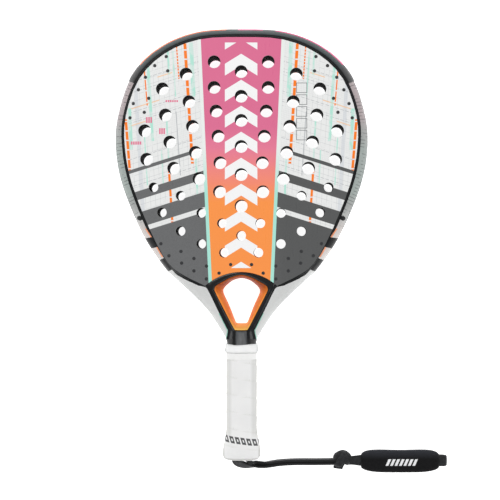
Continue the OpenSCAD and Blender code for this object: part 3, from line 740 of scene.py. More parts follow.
butt_cap.modifiers.clear()
butt_cap.data = slotted
for cutter in cutters:
    bpy.data.objects.remove(cutter)
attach(butt_cap, "racket")
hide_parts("butt_cap")

# %% [markdown]
# ## The padded cuff
#
# The cuff is a sleeve of stretch fabric over foam, about the loop's upper layer. It is fat in the
# middle and pulls in to a narrow mouth at each end, where the webbing goes in. A seam runs along
# each side. The section is a superellipse, whose size follows another superellipse lengthwise.

# %% Cuff
CUFF_X, CUFF_L = 123.5, 81.0
CUFF_MID = CUFF_X + CUFF_L / 2
SEAM = 0.12  # the sine of the angle round the cuff at which its seam lies


def cuff_grid():
    """Sections |y|^2.5 + |z|^2.5 = 1, sized by (1 - |u|^p)^(1/q) along the cuff, u from -1 to 1.

    p is 6.5 on the side nearest the racket's head and 4 on the other, which is rounder.
    """
    u = np.sin(np.linspace(-np.pi / 2, np.pi / 2, 97)) * 0.998
    turn = full_turn(72)
    cos, sin = np.cos(turn), np.sin(turn)
    y, z = signed_power(cos, 0.8), signed_power(sin, 0.8)
    upper = 5.9 + 6.4 * (1 - np.abs(u) ** 6.5) ** 0.5
    lower = 5.9 + 6.2 * (1 - np.abs(u) ** 4.0) ** 0.55
    half_w = mix(lower[:, None], upper[:, None], 0.5 + 0.5 * cos[None])
    half_t = 2.3 + 3.45 * (1 - np.abs(u) ** 9) ** 0.42
    grid = np.empty((len(u), len(turn), 3))
    grid[..., 0] = CUFF_MID + u[:, None] * CUFF_L / 2
    crown = 1 - 0.07 * (np.abs(u)[:, None] ** 2)
    waist = np.where(sin > 0, 1.0, 0.98)[None]
    seam = -0.32 * np.exp(-((sin[None] - SEAM) / 0.13) ** 2)
    pull = np.sin(u[:, None] * 31 + 2 * sin[None]) * np.exp(-((sin[None] - SEAM) / 0.35) ** 2)
    dip = -0.55 * np.exp(-(u / 0.42) ** 2)[:, None] * np.maximum(cos, 0)[None] ** 3
    side = np.sign(cos)[None] * (seam + 0.03 * pull) + dip
    grid[..., 1] = LOOP_Y + half_w * y[None] * waist + side * ease(half_w, 7, 10)
    grid[..., 2] = 9.45 + half_t[:, None] * z[None] * crown
    far_end = CUFF_X + CUFF_L
    mouths = [np.column_stack([np.full(len(turn), x), LOOP_Y + w * y, 9.4 + t * z])
              for x, w, t in ((CUFF_X + 1.2, 5.75, 2.1), (CUFF_X + 0.2, 5.8, 2.15),
                              (far_end - 0.2, 5.8, 2.15), (far_end - 1.2, 5.75, 2.1))]
    grid = np.concatenate([mouths[:2], grid, mouths[2:]])
    return grid, {"seam": sin[None] - SEAM}


grid, marks = cuff_grid()
cuff = surface("cuff_padding_cover", grid, values=marks, sharp=70)
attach(cuff, "cuff")
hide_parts("cuff_cover", "cuff_foam")


# %% [markdown]
# ## Dots on the faces
#
# Between the large holes the sheets carry small black dots, where paint fills a shallow mark.
# They are low domes, only a few hundredths of a millimetre high, so they are one mesh of fans.

# %% Dots
dot_places = np.array([
    [76, 190.7], [87.7, 181.5], [74.5, 176.2], [97.1, 169.7], [104.3, 157], [93.8, 148.3],
    [109.5, 143], [98.3, 134.1], [112.8, 128.5], [81.5, 0.7], [61.1, -7.1], [73.3, -11.5],
    [47.9, -14.3], [60.4, -19], [47.9, -26.9], [35.2, -22], [35.3, -35.1], [10.6, -20.5],
    [22.4, -29.2]])
turn = full_turn(20)
circle = np.stack([np.cos(turn), np.sin(turn)], -1)
dot_points, dot_faces = [], []
for side in (1, -1):
    for front in (1, -1):
        middle = dot_places * [side, 1]
        rim = middle[:, None] + 1.75 * circle
        top = MID_Z + front * (MID_Z + 0.06)
        low = MID_Z + front * (MID_Z + 0.01)
        for (x, y), points in zip(middle, rim):
            first = len(dot_points)
            dot_points += [[x, y, top]] + [[px, py, low] for px, py in points]
            order = [[first, first + 1 + k, first + 1 + (k + 1) % 20] for k in range(20)]
            dot_faces += order if front > 0 else [f[::-1] for f in order]
dot_mesh = bpy.data.meshes.new("face_dots")
dot_mesh.from_pydata((np.array(dot_points) * MM).tolist(), [], dot_faces)
face_dots = bpy.data.objects.new("face_dots", dot_mesh)
bpy.context.collection.objects.link(face_dots)
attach(face_dots, "racket")
print("dots:", 4 * len(dot_places))

# %% [markdown]
# ## Numbers over a surface
#
# The print on the faces is geometry: stripes, bars and dashes at known places. In a material that
# is arithmetic on the Object coordinates, one Math node for each step. `Field` writes such sums
# as Python writes them. A shape is then a distance that is positive inside it, and `edge` turns
# the distance into a mask with a border a fraction of a millimetre wide.


# %% Field arithmetic
class Field:
    """A number that changes over a surface. Arithmetic on it adds Math nodes to its tree."""

    def __init__(self, socket):
        self.socket = socket

    def math(self, operation, *others, clamp=False):
        """A Math node on this number and the others."""
        tree = self.socket.id_data
        node = tree.nodes.new("ShaderNodeMath")
        node.operation, node.use_clamp = operation, clamp
        for slot, value in zip(node.inputs, (self,) + others):
            if isinstance(value, Field):
                tree.links.new(value.socket, slot)
            else:
                slot.default_value = value
        return Field(node.outputs[0])

    def __add__(self, other):
        return self.math("ADD", other)

    def __sub__(self, other):
        return self.math("SUBTRACT", other)

    def __mul__(self, other):
        return self.math("MULTIPLY", other)

    def __truediv__(self, other):
        return self.math("DIVIDE", other)

    def __neg__(self):
        return self * -1.0

    def __abs__(self):
        return self.math("ABSOLUTE")

    def __mod__(self, other):
        return self.math("FLOORED_MODULO", other)


def least(first, *others):
    """The smallest of several Fields: the distance inside all of their shapes at once."""
    for other in others:
        first = first.math("MINIMUM", other)
    return first


def most(first, *others):
    """The largest of several Fields: the distance inside whichever shape holds the point."""
    for other in others:
        first = first.math("MAXIMUM", other)
    return first


def edge(distance, soft=0.12):
    """1 where the distance is above 0, 0 below it, with a ramp `soft` mm wide between."""
    return distance.math("MULTIPLY_ADD", 1 / soft, 0.5, clamp=True)


def between(value, low, high):
    """Distance inside the stretch from low to high."""
    return least(value - low, -(value - high))


def near(value, middle, half):
    """Distance inside the stretch that reaches `half` to each side of the middle."""
    return -abs(value - middle) + half


# %% Colours and nodes
def rgb(red, green, blue):
    """A colour given on a 0 to 255 scale, as the linear values that nodes use."""
    c = np.array([red, green, blue]) / 255
    return tuple(np.where(c <= 0.04045, c / 12.92, ((c + 0.055) / 1.055) ** 2.4)) + (1.0,)


def feed(tree, value, socket):
    """The socket takes a Field, another socket's output or a plain value."""
    if isinstance(value, Field):
        value = value.socket
    if isinstance(value, bpy.types.NodeSocket):
        tree.links.new(value, socket)
    else:
        socket.default_value = value


def over(tree, below, above, mask):
    """One colour painted over another through a mask."""
    node = tree.nodes.new("ShaderNodeMix")
    node.data_type = "RGBA"
    feed(tree, mask, node.inputs[0])
    feed(tree, below, node.inputs[6])
    feed(tree, above, node.inputs[7])
    return node.outputs[2]


def painted(tree, colour, *coats):
    """Coats painted over a colour in order: each is a colour and its mask."""
    for above, mask in coats:
        colour = over(tree, colour, above, mask)
    return colour


def place(tree):
    """The Object coordinates as three Fields, in mm."""
    coordinates = tree.nodes.new("ShaderNodeTexCoord")
    split = tree.nodes.new("ShaderNodeSeparateXYZ")
    tree.links.new(coordinates.outputs["Object"], split.inputs[0])
    return [Field(split.outputs[n]) * 1000.0 for n in range(3)]


def attribute(tree, name):
    """One of the mesh's own attributes as a Field."""
    node = tree.nodes.new("ShaderNodeAttribute")
    node.attribute_name = name
    return Field(node.outputs["Fac"])


def noise(tree, scale, detail=3.0, stretch=(1, 1, 1)):
    """Noise on Object coordinates, about `scale` features to the millimetre."""
    coordinates = tree.nodes.new("ShaderNodeTexCoord")
    mapping = tree.nodes.new("ShaderNodeMapping")
    mapping.inputs["Scale"].default_value = [1000 * scale * k for k in stretch]
    tree.links.new(coordinates.outputs["Object"], mapping.inputs[0])
    node = tree.nodes.new("ShaderNodeTexNoise")
    node.inputs["Scale"].default_value = 1.0
    node.inputs["Detail"].default_value = detail
    tree.links.new(mapping.outputs[0], node.inputs["Vector"])
    return Field(node.outputs[0])


def grain(scale, detail=3.0, stretch=(1, 1, 1)):
    """Noise for a finish, made in whichever tree asks for it."""
    return lambda tree: noise(tree, scale, detail, stretch)


def speckled(dark, light, pattern):
    """A colour that goes from dark to light as the pattern goes from 0 to 1."""
    return lambda tree: over(tree, rgb(*dark), rgb(*light), pattern(tree))


def finish_of(name, colour, roughness, height=None, bump=0.0001, depth=1.0, coat=None,
              **sockets):
    """A material with one Principled BSDF. `colour` and `height` may be made in its own tree."""
    material = bpy.data.materials.new(name)
    material.use_nodes = True
    tree = material.node_tree
    shader = tree.nodes["Principled BSDF"]
    feed(tree, colour(tree) if callable(colour) else colour, shader.inputs["Base Color"])
    feed(tree, roughness(tree) if callable(roughness) else roughness, shader.inputs["Roughness"])
    if coat is not None:
        feed(tree, coat(tree), shader.inputs["Coat Weight"])
    if height is not None:
        node = tree.nodes.new("ShaderNodeBump")
        node.inputs["Distance"].default_value = bump
        node.inputs["Strength"].default_value = depth
        feed(tree, height(tree), node.inputs["Height"])
        tree.links.new(node.outputs[0], shader.inputs["Normal"])
    for key, value in sockets.items():
        shader.inputs[key.replace("_", " ")].default_value = value
    return material


def dress(material, *pieces):
    """The pieces take this material and no other."""
    for piece in pieces:
        piece.data.materials.clear()
        piece.data.materials.append(material)


def new_group(name, inputs, outputs):
    """An empty shader node group with float sockets, and its input and output nodes."""
    group = bpy.data.node_groups.new(name, "ShaderNodeTree")
    for key, value in inputs.items():
        socket = group.interface.new_socket(key, in_out="INPUT", socket_type="NodeSocketFloat")
        socket.default_value = value
    for key in outputs:
        group.interface.new_socket(key, in_out="OUTPUT", socket_type="NodeSocketFloat")
    return group, group.nodes.new("NodeGroupInput"), group.nodes.new("NodeGroupOutput")


def use(tree, group, **values):
    """A node in this tree for the group, with the group's inputs fed."""
    node = tree.nodes.new("ShaderNodeGroup")
    node.node_tree = group
    for key, value in values.items():
        feed(tree, value, node.inputs[key])
    return node


# %% [markdown]
# ## Effects that several finishes share
#
# Three effects come back: the smudges that handling leaves in a gloss, the fine diagonal weave
# of fibre cloth under lacquer, and the yarns of woven webbing. Each is a node group that puts out
# values only, and every material gives it its own numbers.

# %% Node groups
TURN = 6.2832
smudges, given, made = new_group("handling smudges", {"Base": 0.3, "Amount": 0.1}, ["Roughness"])
cloud = noise(smudges, 0.05, 4.0)
streak = noise(smudges, 0.3, 2.0, (1, 0.12, 1))
rough = (cloud + streak - 1.0) * Field(given.outputs["Amount"]) + Field(given.outputs["Base"])
feed(smudges, rough, made.inputs[0])

fibre, given, made = new_group("fibre cloth", {"Pitch": 1.0}, ["Weave", "Yarn"])
x, y, z = place(fibre)
pitch = Field(given.outputs["Pitch"])
up, down = ((x + y) / pitch) * TURN, ((x - y) / pitch) * TURN
weave = up.math("SINE") * down.math("SINE")
feed(fibre, weave * 0.5 + 0.5, made.inputs["Weave"])
feed(fibre, noise(fibre, 0.9, 2.0, (1, 1, 0.3)), made.inputs["Yarn"])

yarns, given, made = new_group("woven yarns", {"Along": 0.0, "Across": 0.0, "Pitch": 0.9},
                               ["Height"])
along, across = Field(given.outputs["Along"]), Field(given.outputs["Across"])
pitch = Field(given.outputs["Pitch"])
rib = (along / pitch * TURN).math("SINE")
check = (across / pitch * (TURN / 2)).math("SINE") * (along / pitch * (TURN / 2)).math("COSINE")
feed(yarns, (check * 0.5 + rib * 0.3) * 0.5 + 0.5, made.inputs["Height"])


def smudged(base, amount):
    """Roughness: the base, moved up and down by the smudges."""
    return lambda tree: use(tree, smudges, Base=base, Amount=amount).outputs[0]


def cloth(tree, pitch):
    """The fibre cloth's two values in this tree, the weave and the yarn."""
    node = use(tree, fibre, Pitch=pitch)
    return [Field(output) for output in node.outputs]


# %% [markdown]
# ## The print on the faces
#
# Most of the print is symmetrical about the racket's axis, and slants are lines of equal
# y + 0.315 |x|. Layers are painted in order: white ground, hairlines, coloured dashes, dark bars
# that are lighter on the left as a painted reflection, a few blocks and a ladder on one side only,
# the margin, the strip that goes from orange to pink, and a column of white arrowheads. The walls
# of the holes are painted near black.

# %% Face print
SLANT = 0.315
# The dark ink goes from lighter on the left to darker on the right across the face: a painted
# reflection.
INK_LEFT_PAINTED_SHEEN, INK_RIGHT_PAINTED_SHADE = rgb(108, 109, 110), rgb(84, 85, 85)
HAIR, ORANGE, MINT = rgb(184, 187, 190), rgb(255, 128, 28), rgb(182, 233, 217)
# Each line is |x| = start + lean y: start, lean, width, from y, to y, and any period and dash.
HAIR_LINE = (56.8, 0.069, 0.8, 70, 135)
MINT_LINES = (
    (40.3, 0.0523, 4.0, 150, 205), (42.4, 0.04, 2.0, 48, 92), (83.2, 0.0628, 3.0, 105, 182),
    (107.0, 0.047, 3.6, 96, 138), (69.0, 0.052, 1.6, 85, 135), (57.5, 0.06, 1.2, 150, 196),
    (62.0, 0.064, 2.0, 172, 200), (76.0, 0.05, 1.0, 60, 96), (91.5, 0.06, 1.2, 60, 110))
DASHES = (
    (44.2, 0.0635, 3.0, 82, 204, 9.4, 8.1), (51.0, 0.0724, 1.4, 168, 203, 3.2, 2.3),
    (83.6, 0.083, 1.3, 141, 176, 12.0, 10.5), (107.0, 0.08, 2.7, 74, 127, 9.6, 8.4),
    (68.4, 0.064, 2.4, 20, 75, 12.0, 10.8))
# Blocks of short bars: the middle's x and y, and half the width and height.
BLOCKS = ((-93.5, 126.3, 3, 3), (-80.3, 115, 3, 3), (-106.7, 102.9, 6, 1.6), (-70.2, 145.5, 6.5, 1))


def painted_face(tree):
    """The layers in order, each through an edge of the distance inside its own shape."""
    x, y, z = place(tree)
    side = abs(x)
    slant = y + side * SLANT
    colour = over(tree, rgb(238, 239, 238), rgb(222, 225, 228),
                  edge(between(side - y * 0.059, 95.7, 99.3), 0.8))

    def stripe(colour, ink, line, soft=0.25, share=1.0):
        """A line |x| = start + lean y, cut into dashes where a period is given."""
        start, lean, width, low, high, period, dash = (*line, 0, 0)[:7]
        inside = least(near(side - y * lean, start, width / 2), between(y, low, high))
        if period:
            inside = least(inside, near(y % period, period / 2, dash / 2))
        return over(tree, colour, ink, edge(inside, soft) * share)

    patches = noise(tree, 0.09, 2.0)
    worn = edge(noise(tree, 0.22, 2.0, (1, 0.5, 1)) - 0.5, 0.06) * 0.5 + 0.5
    for value, pitch, share in ((slant, 6.3, 0.5), (side - y * 0.06, 5.1, 0.4),
                                (side - y * 0.06, 1.7, 0.15), (slant, 2.1, 0.13)):
        inside = near(value % pitch, pitch / 2, 0.24)
        broken = edge(patches * -1.0 + 0.53, 0.05) if pitch > 3 else edge(patches - 0.55, 0.05)
        colour = over(tree, colour, HAIR, edge(inside, 0.3) * broken * share)
    for at in (93.5, 121.5, 158.4, 169.0, 189.0, 199.7):
        inside = least(near(slant, at, 0.35), near(side % 5.0, 2.5, 1.8))
        colour = over(tree, colour, HAIR, edge(inside, 0.4) * 0.8)
    for at, low, high in ((172.7, 83, 112), (155.6, 97, 112), (196.6, 70, 85)):
        inside = least(near(slant, at, 0.5), between(side, low, high))
        colour = over(tree, colour, rgb(255, 190, 120), edge(inside, 0.4) * 0.7)
    colour = stripe(colour, HAIR, HAIR_LINE)
    for line in MINT_LINES:
        colour = stripe(colour, MINT, line, 0.5, worn)
    for line in DASHES:
        colour = stripe(colour, ORANGE, line)

    weave, yarn = cloth(tree, 1.6)
    # The ink's lighter left and darker right, over 90 mm of x, are a painted reflection; the weave
    # and yarns over it are the cloth's own.
    ink = painted(
        tree, INK_LEFT_PAINTED_SHEEN, (INK_RIGHT_PAINTED_SHADE, edge(x, 90.0)), (rgb(124, 125, 126), weave * 0.2),
        (rgb(66, 67, 68), yarn.math("POWER", 3.0) * 0.7))
    dark = most(
        -(slant - 44.6), between(slant, 49.6, 65.1), between(slant, 78.0, 87.0),
        least(between(slant, 107.2, 110.9), side - 43.0))
    colour = over(tree, colour, ink, edge(dark, 0.3))

    for at_x, at_y, half_w, half_h in BLOCKS:
        inside = least(near(x, at_x, half_w), near(y, at_y, half_h), near(x % 2.2, 1.1, 0.8))
        colour = over(tree, colour, rgb(232, 120, 150), edge(inside, 0.3))
    ladder = least(near(x, 61.5, 5.5), between(y, 105, 165))
    rung = (y - 105) % 12.0
    hollow = least(near(x, 61.5, 4.9), near(rung, 6.0, 4.6))
    shell = least(ladder, -hollow, near(rung, 6.0, 5.2))
    colour = over(tree, colour, rgb(112, 115, 118), edge(shell, 0.3))

    border = side - y * 0.0461 - 31.4
    margin = over(tree, rgb(172, 233, 218), rgb(238, 243, 240), edge(y - 75, 45))
    strip = painted(
        tree, rgb(255, 152, 74), (rgb(250, 143, 112), edge(y - 52, 18)),
        (rgb(243, 136, 134), edge(y - 70, 20)), (rgb(234, 126, 154), edge(y - 88, 20)),
        (rgb(224, 112, 150), edge(y - 107, 24)))
    rise = (y + side * 0.62 + 29.6) % 26.4
    arrow = least(between(rise, 0.0, 12.0), -(side - 16.5), between(y, -24, 205))
    colour = painted(
        tree, colour, (margin, edge(-(border - 3.4), 0.25)), (strip, edge(-border, 0.2)),
        (rgb(250, 250, 250), edge(arrow, 0.2)))

    # Faces steeper than about 45 degrees, the walls of the holes, are painted near black.
    up = tree.nodes.new("ShaderNodeNewGeometry")
    split = tree.nodes.new("ShaderNodeSeparateXYZ")
    tree.links.new(up.outputs["Normal"], split.inputs[0])
    wall = -(abs(Field(split.outputs[2])) - 0.7)
    return over(tree, colour, rgb(24, 24, 26), edge(wall, 0.02))


def face_relief(tree):
    """The weave with a share of 0.4, and slow waves with a share of 0.6."""
    weave, yarn = cloth(tree, 1.6)
    return weave * 0.4 + noise(tree, 0.25) * 0.6


face_print = finish_of(
    "printed lacquer over glass cloth", painted_face, smudged(0.30, 0.12), face_relief,
    bump=0.00003, depth=0.5, Coat_Weight=0.35, Coat_Roughness=0.12, Specular_IOR_Level=0.35)
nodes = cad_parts
dress(face_print, nodes["front_face"], nodes["rear_face"])
dress(finish_of("dot ink", speckled((26, 27, 29), (52, 53, 56), grain(1.5)), smudged(0.4, 0.2),
                grain(3.0), bump=0.00003), face_dots)

# %% [markdown]
# The core is black EVA foam. Drilling leaves its closed cells cut open on the walls of the holes.

# %% Foam core
def foam_cells(tree):
    """How far each point is from the middle of its cell, with 1.4 cells to the millimetre."""
    coordinates = tree.nodes.new("ShaderNodeTexCoord")
    cells = tree.nodes.new("ShaderNodeTexVoronoi")
    cells.inputs["Scale"].default_value = 1400.0
    tree.links.new(coordinates.outputs["Object"], cells.inputs["Vector"])
    return Field(cells.outputs["Distance"])


dress(finish_of("cut closed-cell foam", speckled((14, 14, 15), (44, 44, 46), foam_cells), 0.92,
                foam_cells, bump=0.0002, depth=0.7), nodes["foam_core"])

# %% [markdown]
# ## Lacquer on the moulding
#
# The frame is lacquered black next to the face and pale grey outside that, with soft tints that
# change along it. The mesh's own attributes say how far outside the face edge a point is, and how
# far along from the tip, so each border follows the frame round.

# %% Frame lacquer
def lacquered_frame(tree):
    """Pale cloth with tints and fine marks, then black where -rim or patch is above 0."""
    x, y, z = place(tree)
    rim, patch, along = (attribute(tree, key) for key in ("rim", "patch", "along"))
    weave, yarn = cloth(tree, 2.4)
    head = edge(y - 24, 30.0)
    pale = painted(
        tree, rgb(214, 215, 214), (rgb(190, 191, 190), weave * 0.6),
        (rgb(226, 227, 226), yarn.math("POWER", 2.0)), (rgb(144, 147, 145), head * 0.75))
    for tint, low_y, high_y, share in (
            (rgb(206, 140, 156), 166, 122, 0.2), (rgb(150, 182, 172), 104, 48, 0.22),
            (rgb(216, 130, 84), 24, -12, 0.12)):
        inside = between(along, along_at(low_y), along_at(high_y))
        pale = over(tree, pale, tint, edge(inside, 14.0) * share)
    black = over(tree, rgb(14, 15, 17), rgb(36, 38, 40), yarn * 0.5)
    hatch = edge(near(along % 3.4, 1.7, 0.4), 0.3) * edge(noise(tree, 0.12, 2.0) - 0.5, 0.04)
    ridge_line = edge(-(attribute(tree, "level") - 0.36), 0.3)
    glow = least(rim, -rim + 1.4, between(y, -13, 16), -patch)
    sliver = least(rim, -rim + 0.8, -(y + 70), -patch)
    return painted(
        tree, pale, (rgb(70, 72, 74), hatch * head * 0.6),
        (rgb(96, 97, 99), ridge_line * (head * 0.4 + 0.2)),
        (rgb(244, 134, 58), edge(glow, 0.4) * 0.8), (rgb(110, 196, 170), edge(sliver, 0.3) * 0.8),
        (black, edge(most(-rim, patch), 0.15)))


def black_coat(tree):
    """Clear coat on the black next to the face and on the arms: the sides are satin."""
    front = edge(attribute(tree, "level") - 0.93, 0.05)
    return edge(-attribute(tree, "rim"), 0.15) * front * 0.65 + 0.04


dress(finish_of(
    "lacquered moulding", lacquered_frame, smudged(0.26, 0.1), grain(0.12, 2.0), bump=0.00006,
    depth=0.5, coat=black_coat, Coat_Roughness=0.2, Specular_IOR_Level=0.04), frame_moulding)

# %% Protector tape
def protector_colours(tree):
    """A dark band, its bumpers and its line: |across| is 0 on the ridge and 1 at the faces."""
    x, y, z = place(tree)
    along, level = attribute(tree, "along"), abs(attribute(tree, "across"))
    speckle = noise(tree, 1.2)
    band = over(tree, rgb(48, 56, 58), rgb(72, 82, 84), speckle)
    bumper = over(tree, rgb(50, 51, 52), rgb(72, 73, 74), speckle)
    tint = over(tree, rgb(255, 110, 26), rgb(232, 62, 128), edge(x + 10, 6))
    gaps = most(near(x, -9.5, 6.0), near(x, 28.5, 6.5))
    line = least(-(level - 0.5), -gaps * 0.2, -(along - PROTECTOR_END + 17) * 0.2)
    return painted(
        tree, band, (bumper, edge(along - PROTECTOR_END + 15, 2.0)), (tint, edge(line, 0.05)),
        (rgb(28, 29, 30), edge(level - 0.86, 0.04)))


dress(finish_of(
    "tough protector tape", protector_colours, smudged(0.38, 0.2), grain(1.6), bump=0.00005,
    depth=0.6, Specular_IOR_Level=0.15), head_protector)

# %% Bridge, arms' inside and neck
def dark_fibre_with_painted_highlight(tree):
    """Dark cloth, with a painted highlight on the neck's front flat: z above 33, |x| under 5.6, y
    under -88.
    """
    x, y, z = place(tree)
    weave, yarn = cloth(tree, 2.0)
    base = over(tree, rgb(22, 23, 24), rgb(44, 45, 46), weave * 0.5)
    # The neck's front flat is paler and streaked along its length: a painted highlight.
    flat = edge(least(z - 33.0, -(abs(x) - 5.6), -(y + 88)), 1.6)
    front = over(tree, rgb(66, 68, 70), rgb(94, 96, 98), noise(tree, 0.5, 3.0, (1, 0.12, 1)))
    return over(tree, base, front, flat)


dress(finish_of(
    "dark fibre under lacquer", dark_fibre_with_painted_highlight, smudged(0.24, 0.12), grain(0.2), bump=0.00005,
    depth=0.5, Coat_Weight=0.2, Coat_Roughness=0.2, Specular_IOR_Level=0.2), throat_bridge, neck)

# %% Throat liner
def liner_colours_with_painted_shade(tree):
    """Orange with painted light and shade: pale at the foot, painted shadow up the racket under the
    bridge, and painted shade towards the rear.
    """
    x, y, z = place(tree)
    rear = edge(z * -1.0 + 14, 12)
    # All but the last coat are painted light and shade: the pale foot, the painted shadow under the
    # bridge, and painted shade to the rear and in the top corners. The last, noisy coat is the
    # paint's own tone.
    return painted(
        tree, rgb(255, 200, 100), (rgb(255, 150, 62), edge(y + 80, 12)),
        (rgb(150, 66, 24), edge(y + 46, 10)),
        (rgb(214, 112, 40), rear * edge(y + 76, 12) * 0.35),
        (rgb(110, 44, 10), rear * edge(y + 52, 6) * 0.8),
        (rgb(250, 146, 78), noise(tree, 0.25) * 0.25))


dress(finish_of("orange liner", liner_colours_with_painted_shade, smudged(0.4, 0.12), grain(0.3, 2.0), bump=0.00004,
                Specular_IOR_Level=0.05), throat_liner)

# %% [markdown]
# ## Tape, rubber and plastic of the handle
#
# Overgrip tape is a soft polyurethane felt: matte and faintly pebbled. Its colour carries painted
# shade: a touch darker in the valley beside each lap, greyer towards the sides where the bevels
# turn away, and greyer at the flare's edges. The band of marks near the butt is only a row of
# plain slanted frames.

# %% Handle finishes
def tape_colour_with_painted_shade(tree):
    """White by its place in the lap, with painted shade at each lap's step, towards the sides and
    at the flare's edges, and marked.
    """
    x, y, z = place(tree)
    side, lap = abs(x), attribute(tree, "lap")
    # Greyer towards the sides along the grip, where the bevels turn away: painted shade.
    painted_bevel_shade = edge(side - 10.5, 3.0) * 0.35 + edge(side - 15.0, 1.6) * 0.4
    held = edge(between(y, -196, -108), 6.0)
    band = y + x * 0.13 + 200.2
    bars = (x + band * 0.35) % 5.8
    marks = least(-abs(band) + 3.3, between(bars, 0.0, 4.3), z - 20.0)
    outline = least(marks, -least(-abs(band) + 1.2, between(bars, 1.6, 2.9)))
    # Greyer at the flare's sides and its end: painted shade.
    shade = most(side - 17.4, y * -1.0 - 218.0)
    return painted(
        tree, rgb(232, 232, 232), (rgb(243, 243, 242), noise(tree, 0.06, 4.0)),
        # The next two coats, in the valley beside the lap's step and just before it, are painted
        # shade.
        (rgb(206, 206, 200), edge(-(lap - 0.03), 0.05) * 0.5),
        (rgb(214, 214, 210), edge(lap - 0.965, 0.03) * 0.45), (rgb(186, 186, 180), painted_bevel_shade * held),
        (rgb(180, 180, 176), edge(shade, 1.2) * edge(y * -1.0 - 197, 3.0) * 0.6),
        (rgb(44, 45, 48), edge(outline, 0.35) * 0.92))


def tape_pebble(tree):
    """Fine pebbles with a share of 0.5, and broad ones with a share of 0.7."""
    return noise(tree, 2.2) * 0.5 + noise(tree, 0.35, 2.0) * 0.7


def rubber_colour_with_painted_shade(tree):
    """White, and greyer past 15.6 mm from the axis, where the collar turns under: painted shade."""
    base = over(tree, rgb(240, 241, 241), rgb(250, 250, 250), noise(tree, 0.15))
    # Greyer where the surface turns under: painted shade.
    return over(tree, base, rgb(184, 186, 186), edge(abs(place(tree)[0]) - 15.6, 1.4) * 0.6)


dress(finish_of(
    "perforated overgrip felt", tape_colour_with_painted_shade, 0.78, tape_pebble, bump=0.00012, depth=0.6,
    Sheen_Weight=0.25, Sheen_Roughness=0.5, Specular_IOR_Level=0.3), overgrip)
dress(finish_of("soft white rubber", rubber_colour_with_painted_shade, smudged(0.55, 0.15), grain(0.5),
                bump=0.00012, depth=0.5), collar)
dress(finish_of(
    "finishing tape", speckled((238, 238, 237), (248, 248, 247), grain(0.4, 3.0, (1, 4, 1))),
    0.6, grain(1.1, 2.0, (0.3, 2, 0.3)), bump=0.00006), finishing_tape)
dress(finish_of(
    "moulded white plastic", speckled((214, 215, 216), (228, 229, 230), grain(0.2)),
    smudged(0.42, 0.15), grain(2.5, 2.0), bump=0.00003), butt_cap)
dress(finish_of("cushion grip", speckled((200, 200, 196), (216, 216, 212), grain(0.5)), 0.8,
                tape_pebble, bump=0.0001), nodes["base_grip"])
dress(finish_of("handle foam", speckled((170, 170, 168), (206, 206, 204), foam_cells), 0.9,
                foam_cells, bump=0.0002), nodes["handle_foam"])
dress(finish_of(
    "bright staple wire", speckled((178, 180, 184), (204, 206, 210), grain(2.0, 2.0)),
    smudged(0.28, 0.1), grain(4.0, 2.0, (1, 0.1, 1)), bump=0.00001, Metallic=1.0),
    nodes["cap_staples"])

# %% [markdown]
# ## Webbing and cuff cloth
#
# Nylon webbing shows fine ribs across it and a smoother selvedge along each edge, whose plainer
# colour reaches in far enough to be painted shade in the knot's creases. The cuff's stretch cloth
# is a finer knit with a soft sheen, paler on its upper side as a painted sheen, and its seam is a
# row of short stitches in a groove.

# %% Cloth finishes
def web_height(tree):
    """The woven yarns' height, at the point's own place along and across the cloth."""
    return Field(use(tree, yarns, Along=attribute(tree, "along"),
                     Across=attribute(tree, "across"), Pitch=1.15).outputs["Height"])


def web_colour(tree):
    """Lighter on the yarns' tops, dusted in patches, and plain past 3.9 mm from the middle, partly
    as painted shade in the knot's creases.
    """
    return painted(
        tree, rgb(10, 11, 12), (rgb(38, 39, 41), web_height(tree) * 0.8),
        (rgb(54, 55, 58), noise(tree, 0.35).math("POWER", 2.0)),
        # The plain selvedge colour reaches 3.9 mm out so that it also paints shade into the knot's
        # creases.
        (rgb(26, 27, 28), edge(abs(attribute(tree, "across")) - 3.9, 0.5) * 0.75))


dress(
    finish_of("black nylon webbing", web_colour, 0.72, web_height, bump=0.0003, depth=0.9,
              Sheen_Weight=0.08, Sheen_Roughness=0.4, Specular_IOR_Level=0.25),
    strand_lower, strand_upper, wrist_loop, knot_core, knot_wrap, knot_turn, strap_tail)


def seam_stitch(tree, x, half_across, half_along):
    """Distance inside the nearest stitch: one each 2.6 mm along the seam."""
    return least(near(attribute(tree, "seam"), 0, half_across), near(x % 2.6, 1.3, half_along))


def knit_height(tree):
    """Loops of sin(kx) sin(k (y + z)), k one turn each 0.75 mm, and a ridge at each stitch."""
    x, y, z = place(tree)
    loops = (x / 0.75 * TURN).math("SINE") * ((y + z) / 0.75 * TURN).math("SINE")
    stitch = seam_stitch(tree, x, 0.04, 0.9)
    return loops * 0.2 + edge(stitch, 0.02) * 1.2 + noise(tree, 0.25, 2.0)


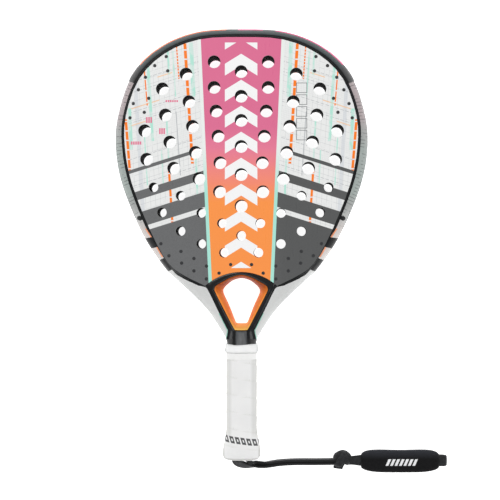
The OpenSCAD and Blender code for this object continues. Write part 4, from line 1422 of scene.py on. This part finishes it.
def knit_colour_with_painted_sheen(tree):
    """Near black, with a painted sheen on its upper side, paler stitches and seven slanted bars."""
    x, y, z = place(tree)
    slanted = x - (y + 224.2) * 0.45
    mark = least(z - 12.0, -abs(y + 225.4) + 3.4, between(slanted, 150.6, 181.2))
    bars = least(mark, between((slanted - 150.6) % 4.6, 0.0, 2.9))
    return painted(
        tree, rgb(5, 5, 6), (rgb(18, 18, 20), noise(tree, 0.9)),
        # Lighter on the upper side: a painted sheen.
        (rgb(50, 52, 58), edge(y + 218.5, 7.0) * 0.7),
        (rgb(74, 76, 80), edge(seam_stitch(tree, x, 0.03, 0.8), 0.02) * 0.7),
        (rgb(236, 237, 238), edge(bars, 0.3)))


dress(finish_of(
    "black knitted stretch cloth", knit_colour_with_painted_sheen, 0.66, knit_height, bump=0.00025, depth=0.7,
    Sheen_Weight=0.05, Sheen_Roughness=0.35, Specular_IOR_Level=0.15), cuff)

# %% [markdown]
# ## Floor and light
#
# A white floor under wide, soft lamps gives even light with faint shadows. The floor gives off
# light too, so that it reads white through the holes. The lamps stand to the sides and not over
# the lens, so that the gloss on the faces does not wash their print out.

# %% Stage
floor_mesh = bpy.data.meshes.new("floor")
reach = 4.0
floor_mesh.from_pydata(
    [(-reach, -reach, 0), (reach, -reach, 0), (reach, reach, 0), (-reach, reach, 0)],
    [], [(0, 1, 2, 3)])
floor = bpy.data.objects.new("floor", floor_mesh)
floor.location.z = -0.0005
bpy.context.collection.objects.link(floor)
dress(finish_of(
    "plain pale floor", speckled((250, 250, 250), (252, 252, 252), grain(0.01, 2.0)),
    0.85, Specular_IOR_Level=0.1, Emission_Color=(1, 1, 1, 1), Emission_Strength=0.95), floor)


def soft_lamp(name, spot, size, watts):
    """A square area lamp at `spot`, turned to face the racket's middle."""
    data = bpy.data.lights.new(name, "AREA")
    data.shape, data.size, data.energy = "SQUARE", size, watts
    lamp = bpy.data.objects.new(name, data)
    lamp.location = spot
    away = np.array(spot) - [0, 0, 0.02]
    lamp.rotation_euler = (np.arctan2(np.hypot(away[0], away[1]), away[2]), 0,
                           np.arctan2(away[1], away[0]) + np.pi / 2)
    bpy.context.collection.objects.link(lamp)


soft_lamp("key lamp", (-0.8, 1.25, 1.9), 1.2, 26)
soft_lamp("fill lamp", (1.35, -0.1, 1.8), 1.2, 13)
soft_lamp("low lamp", (-0.1, -1.5, 1.7), 1.2, 12)
world = bpy.data.worlds.new("pale room")
world.use_nodes = True
world.node_tree.nodes["Background"].inputs[0].default_value = (1, 1, 1, 1)
world.node_tree.nodes["Background"].inputs[1].default_value = 0.28
bpy.context.scene.world = world
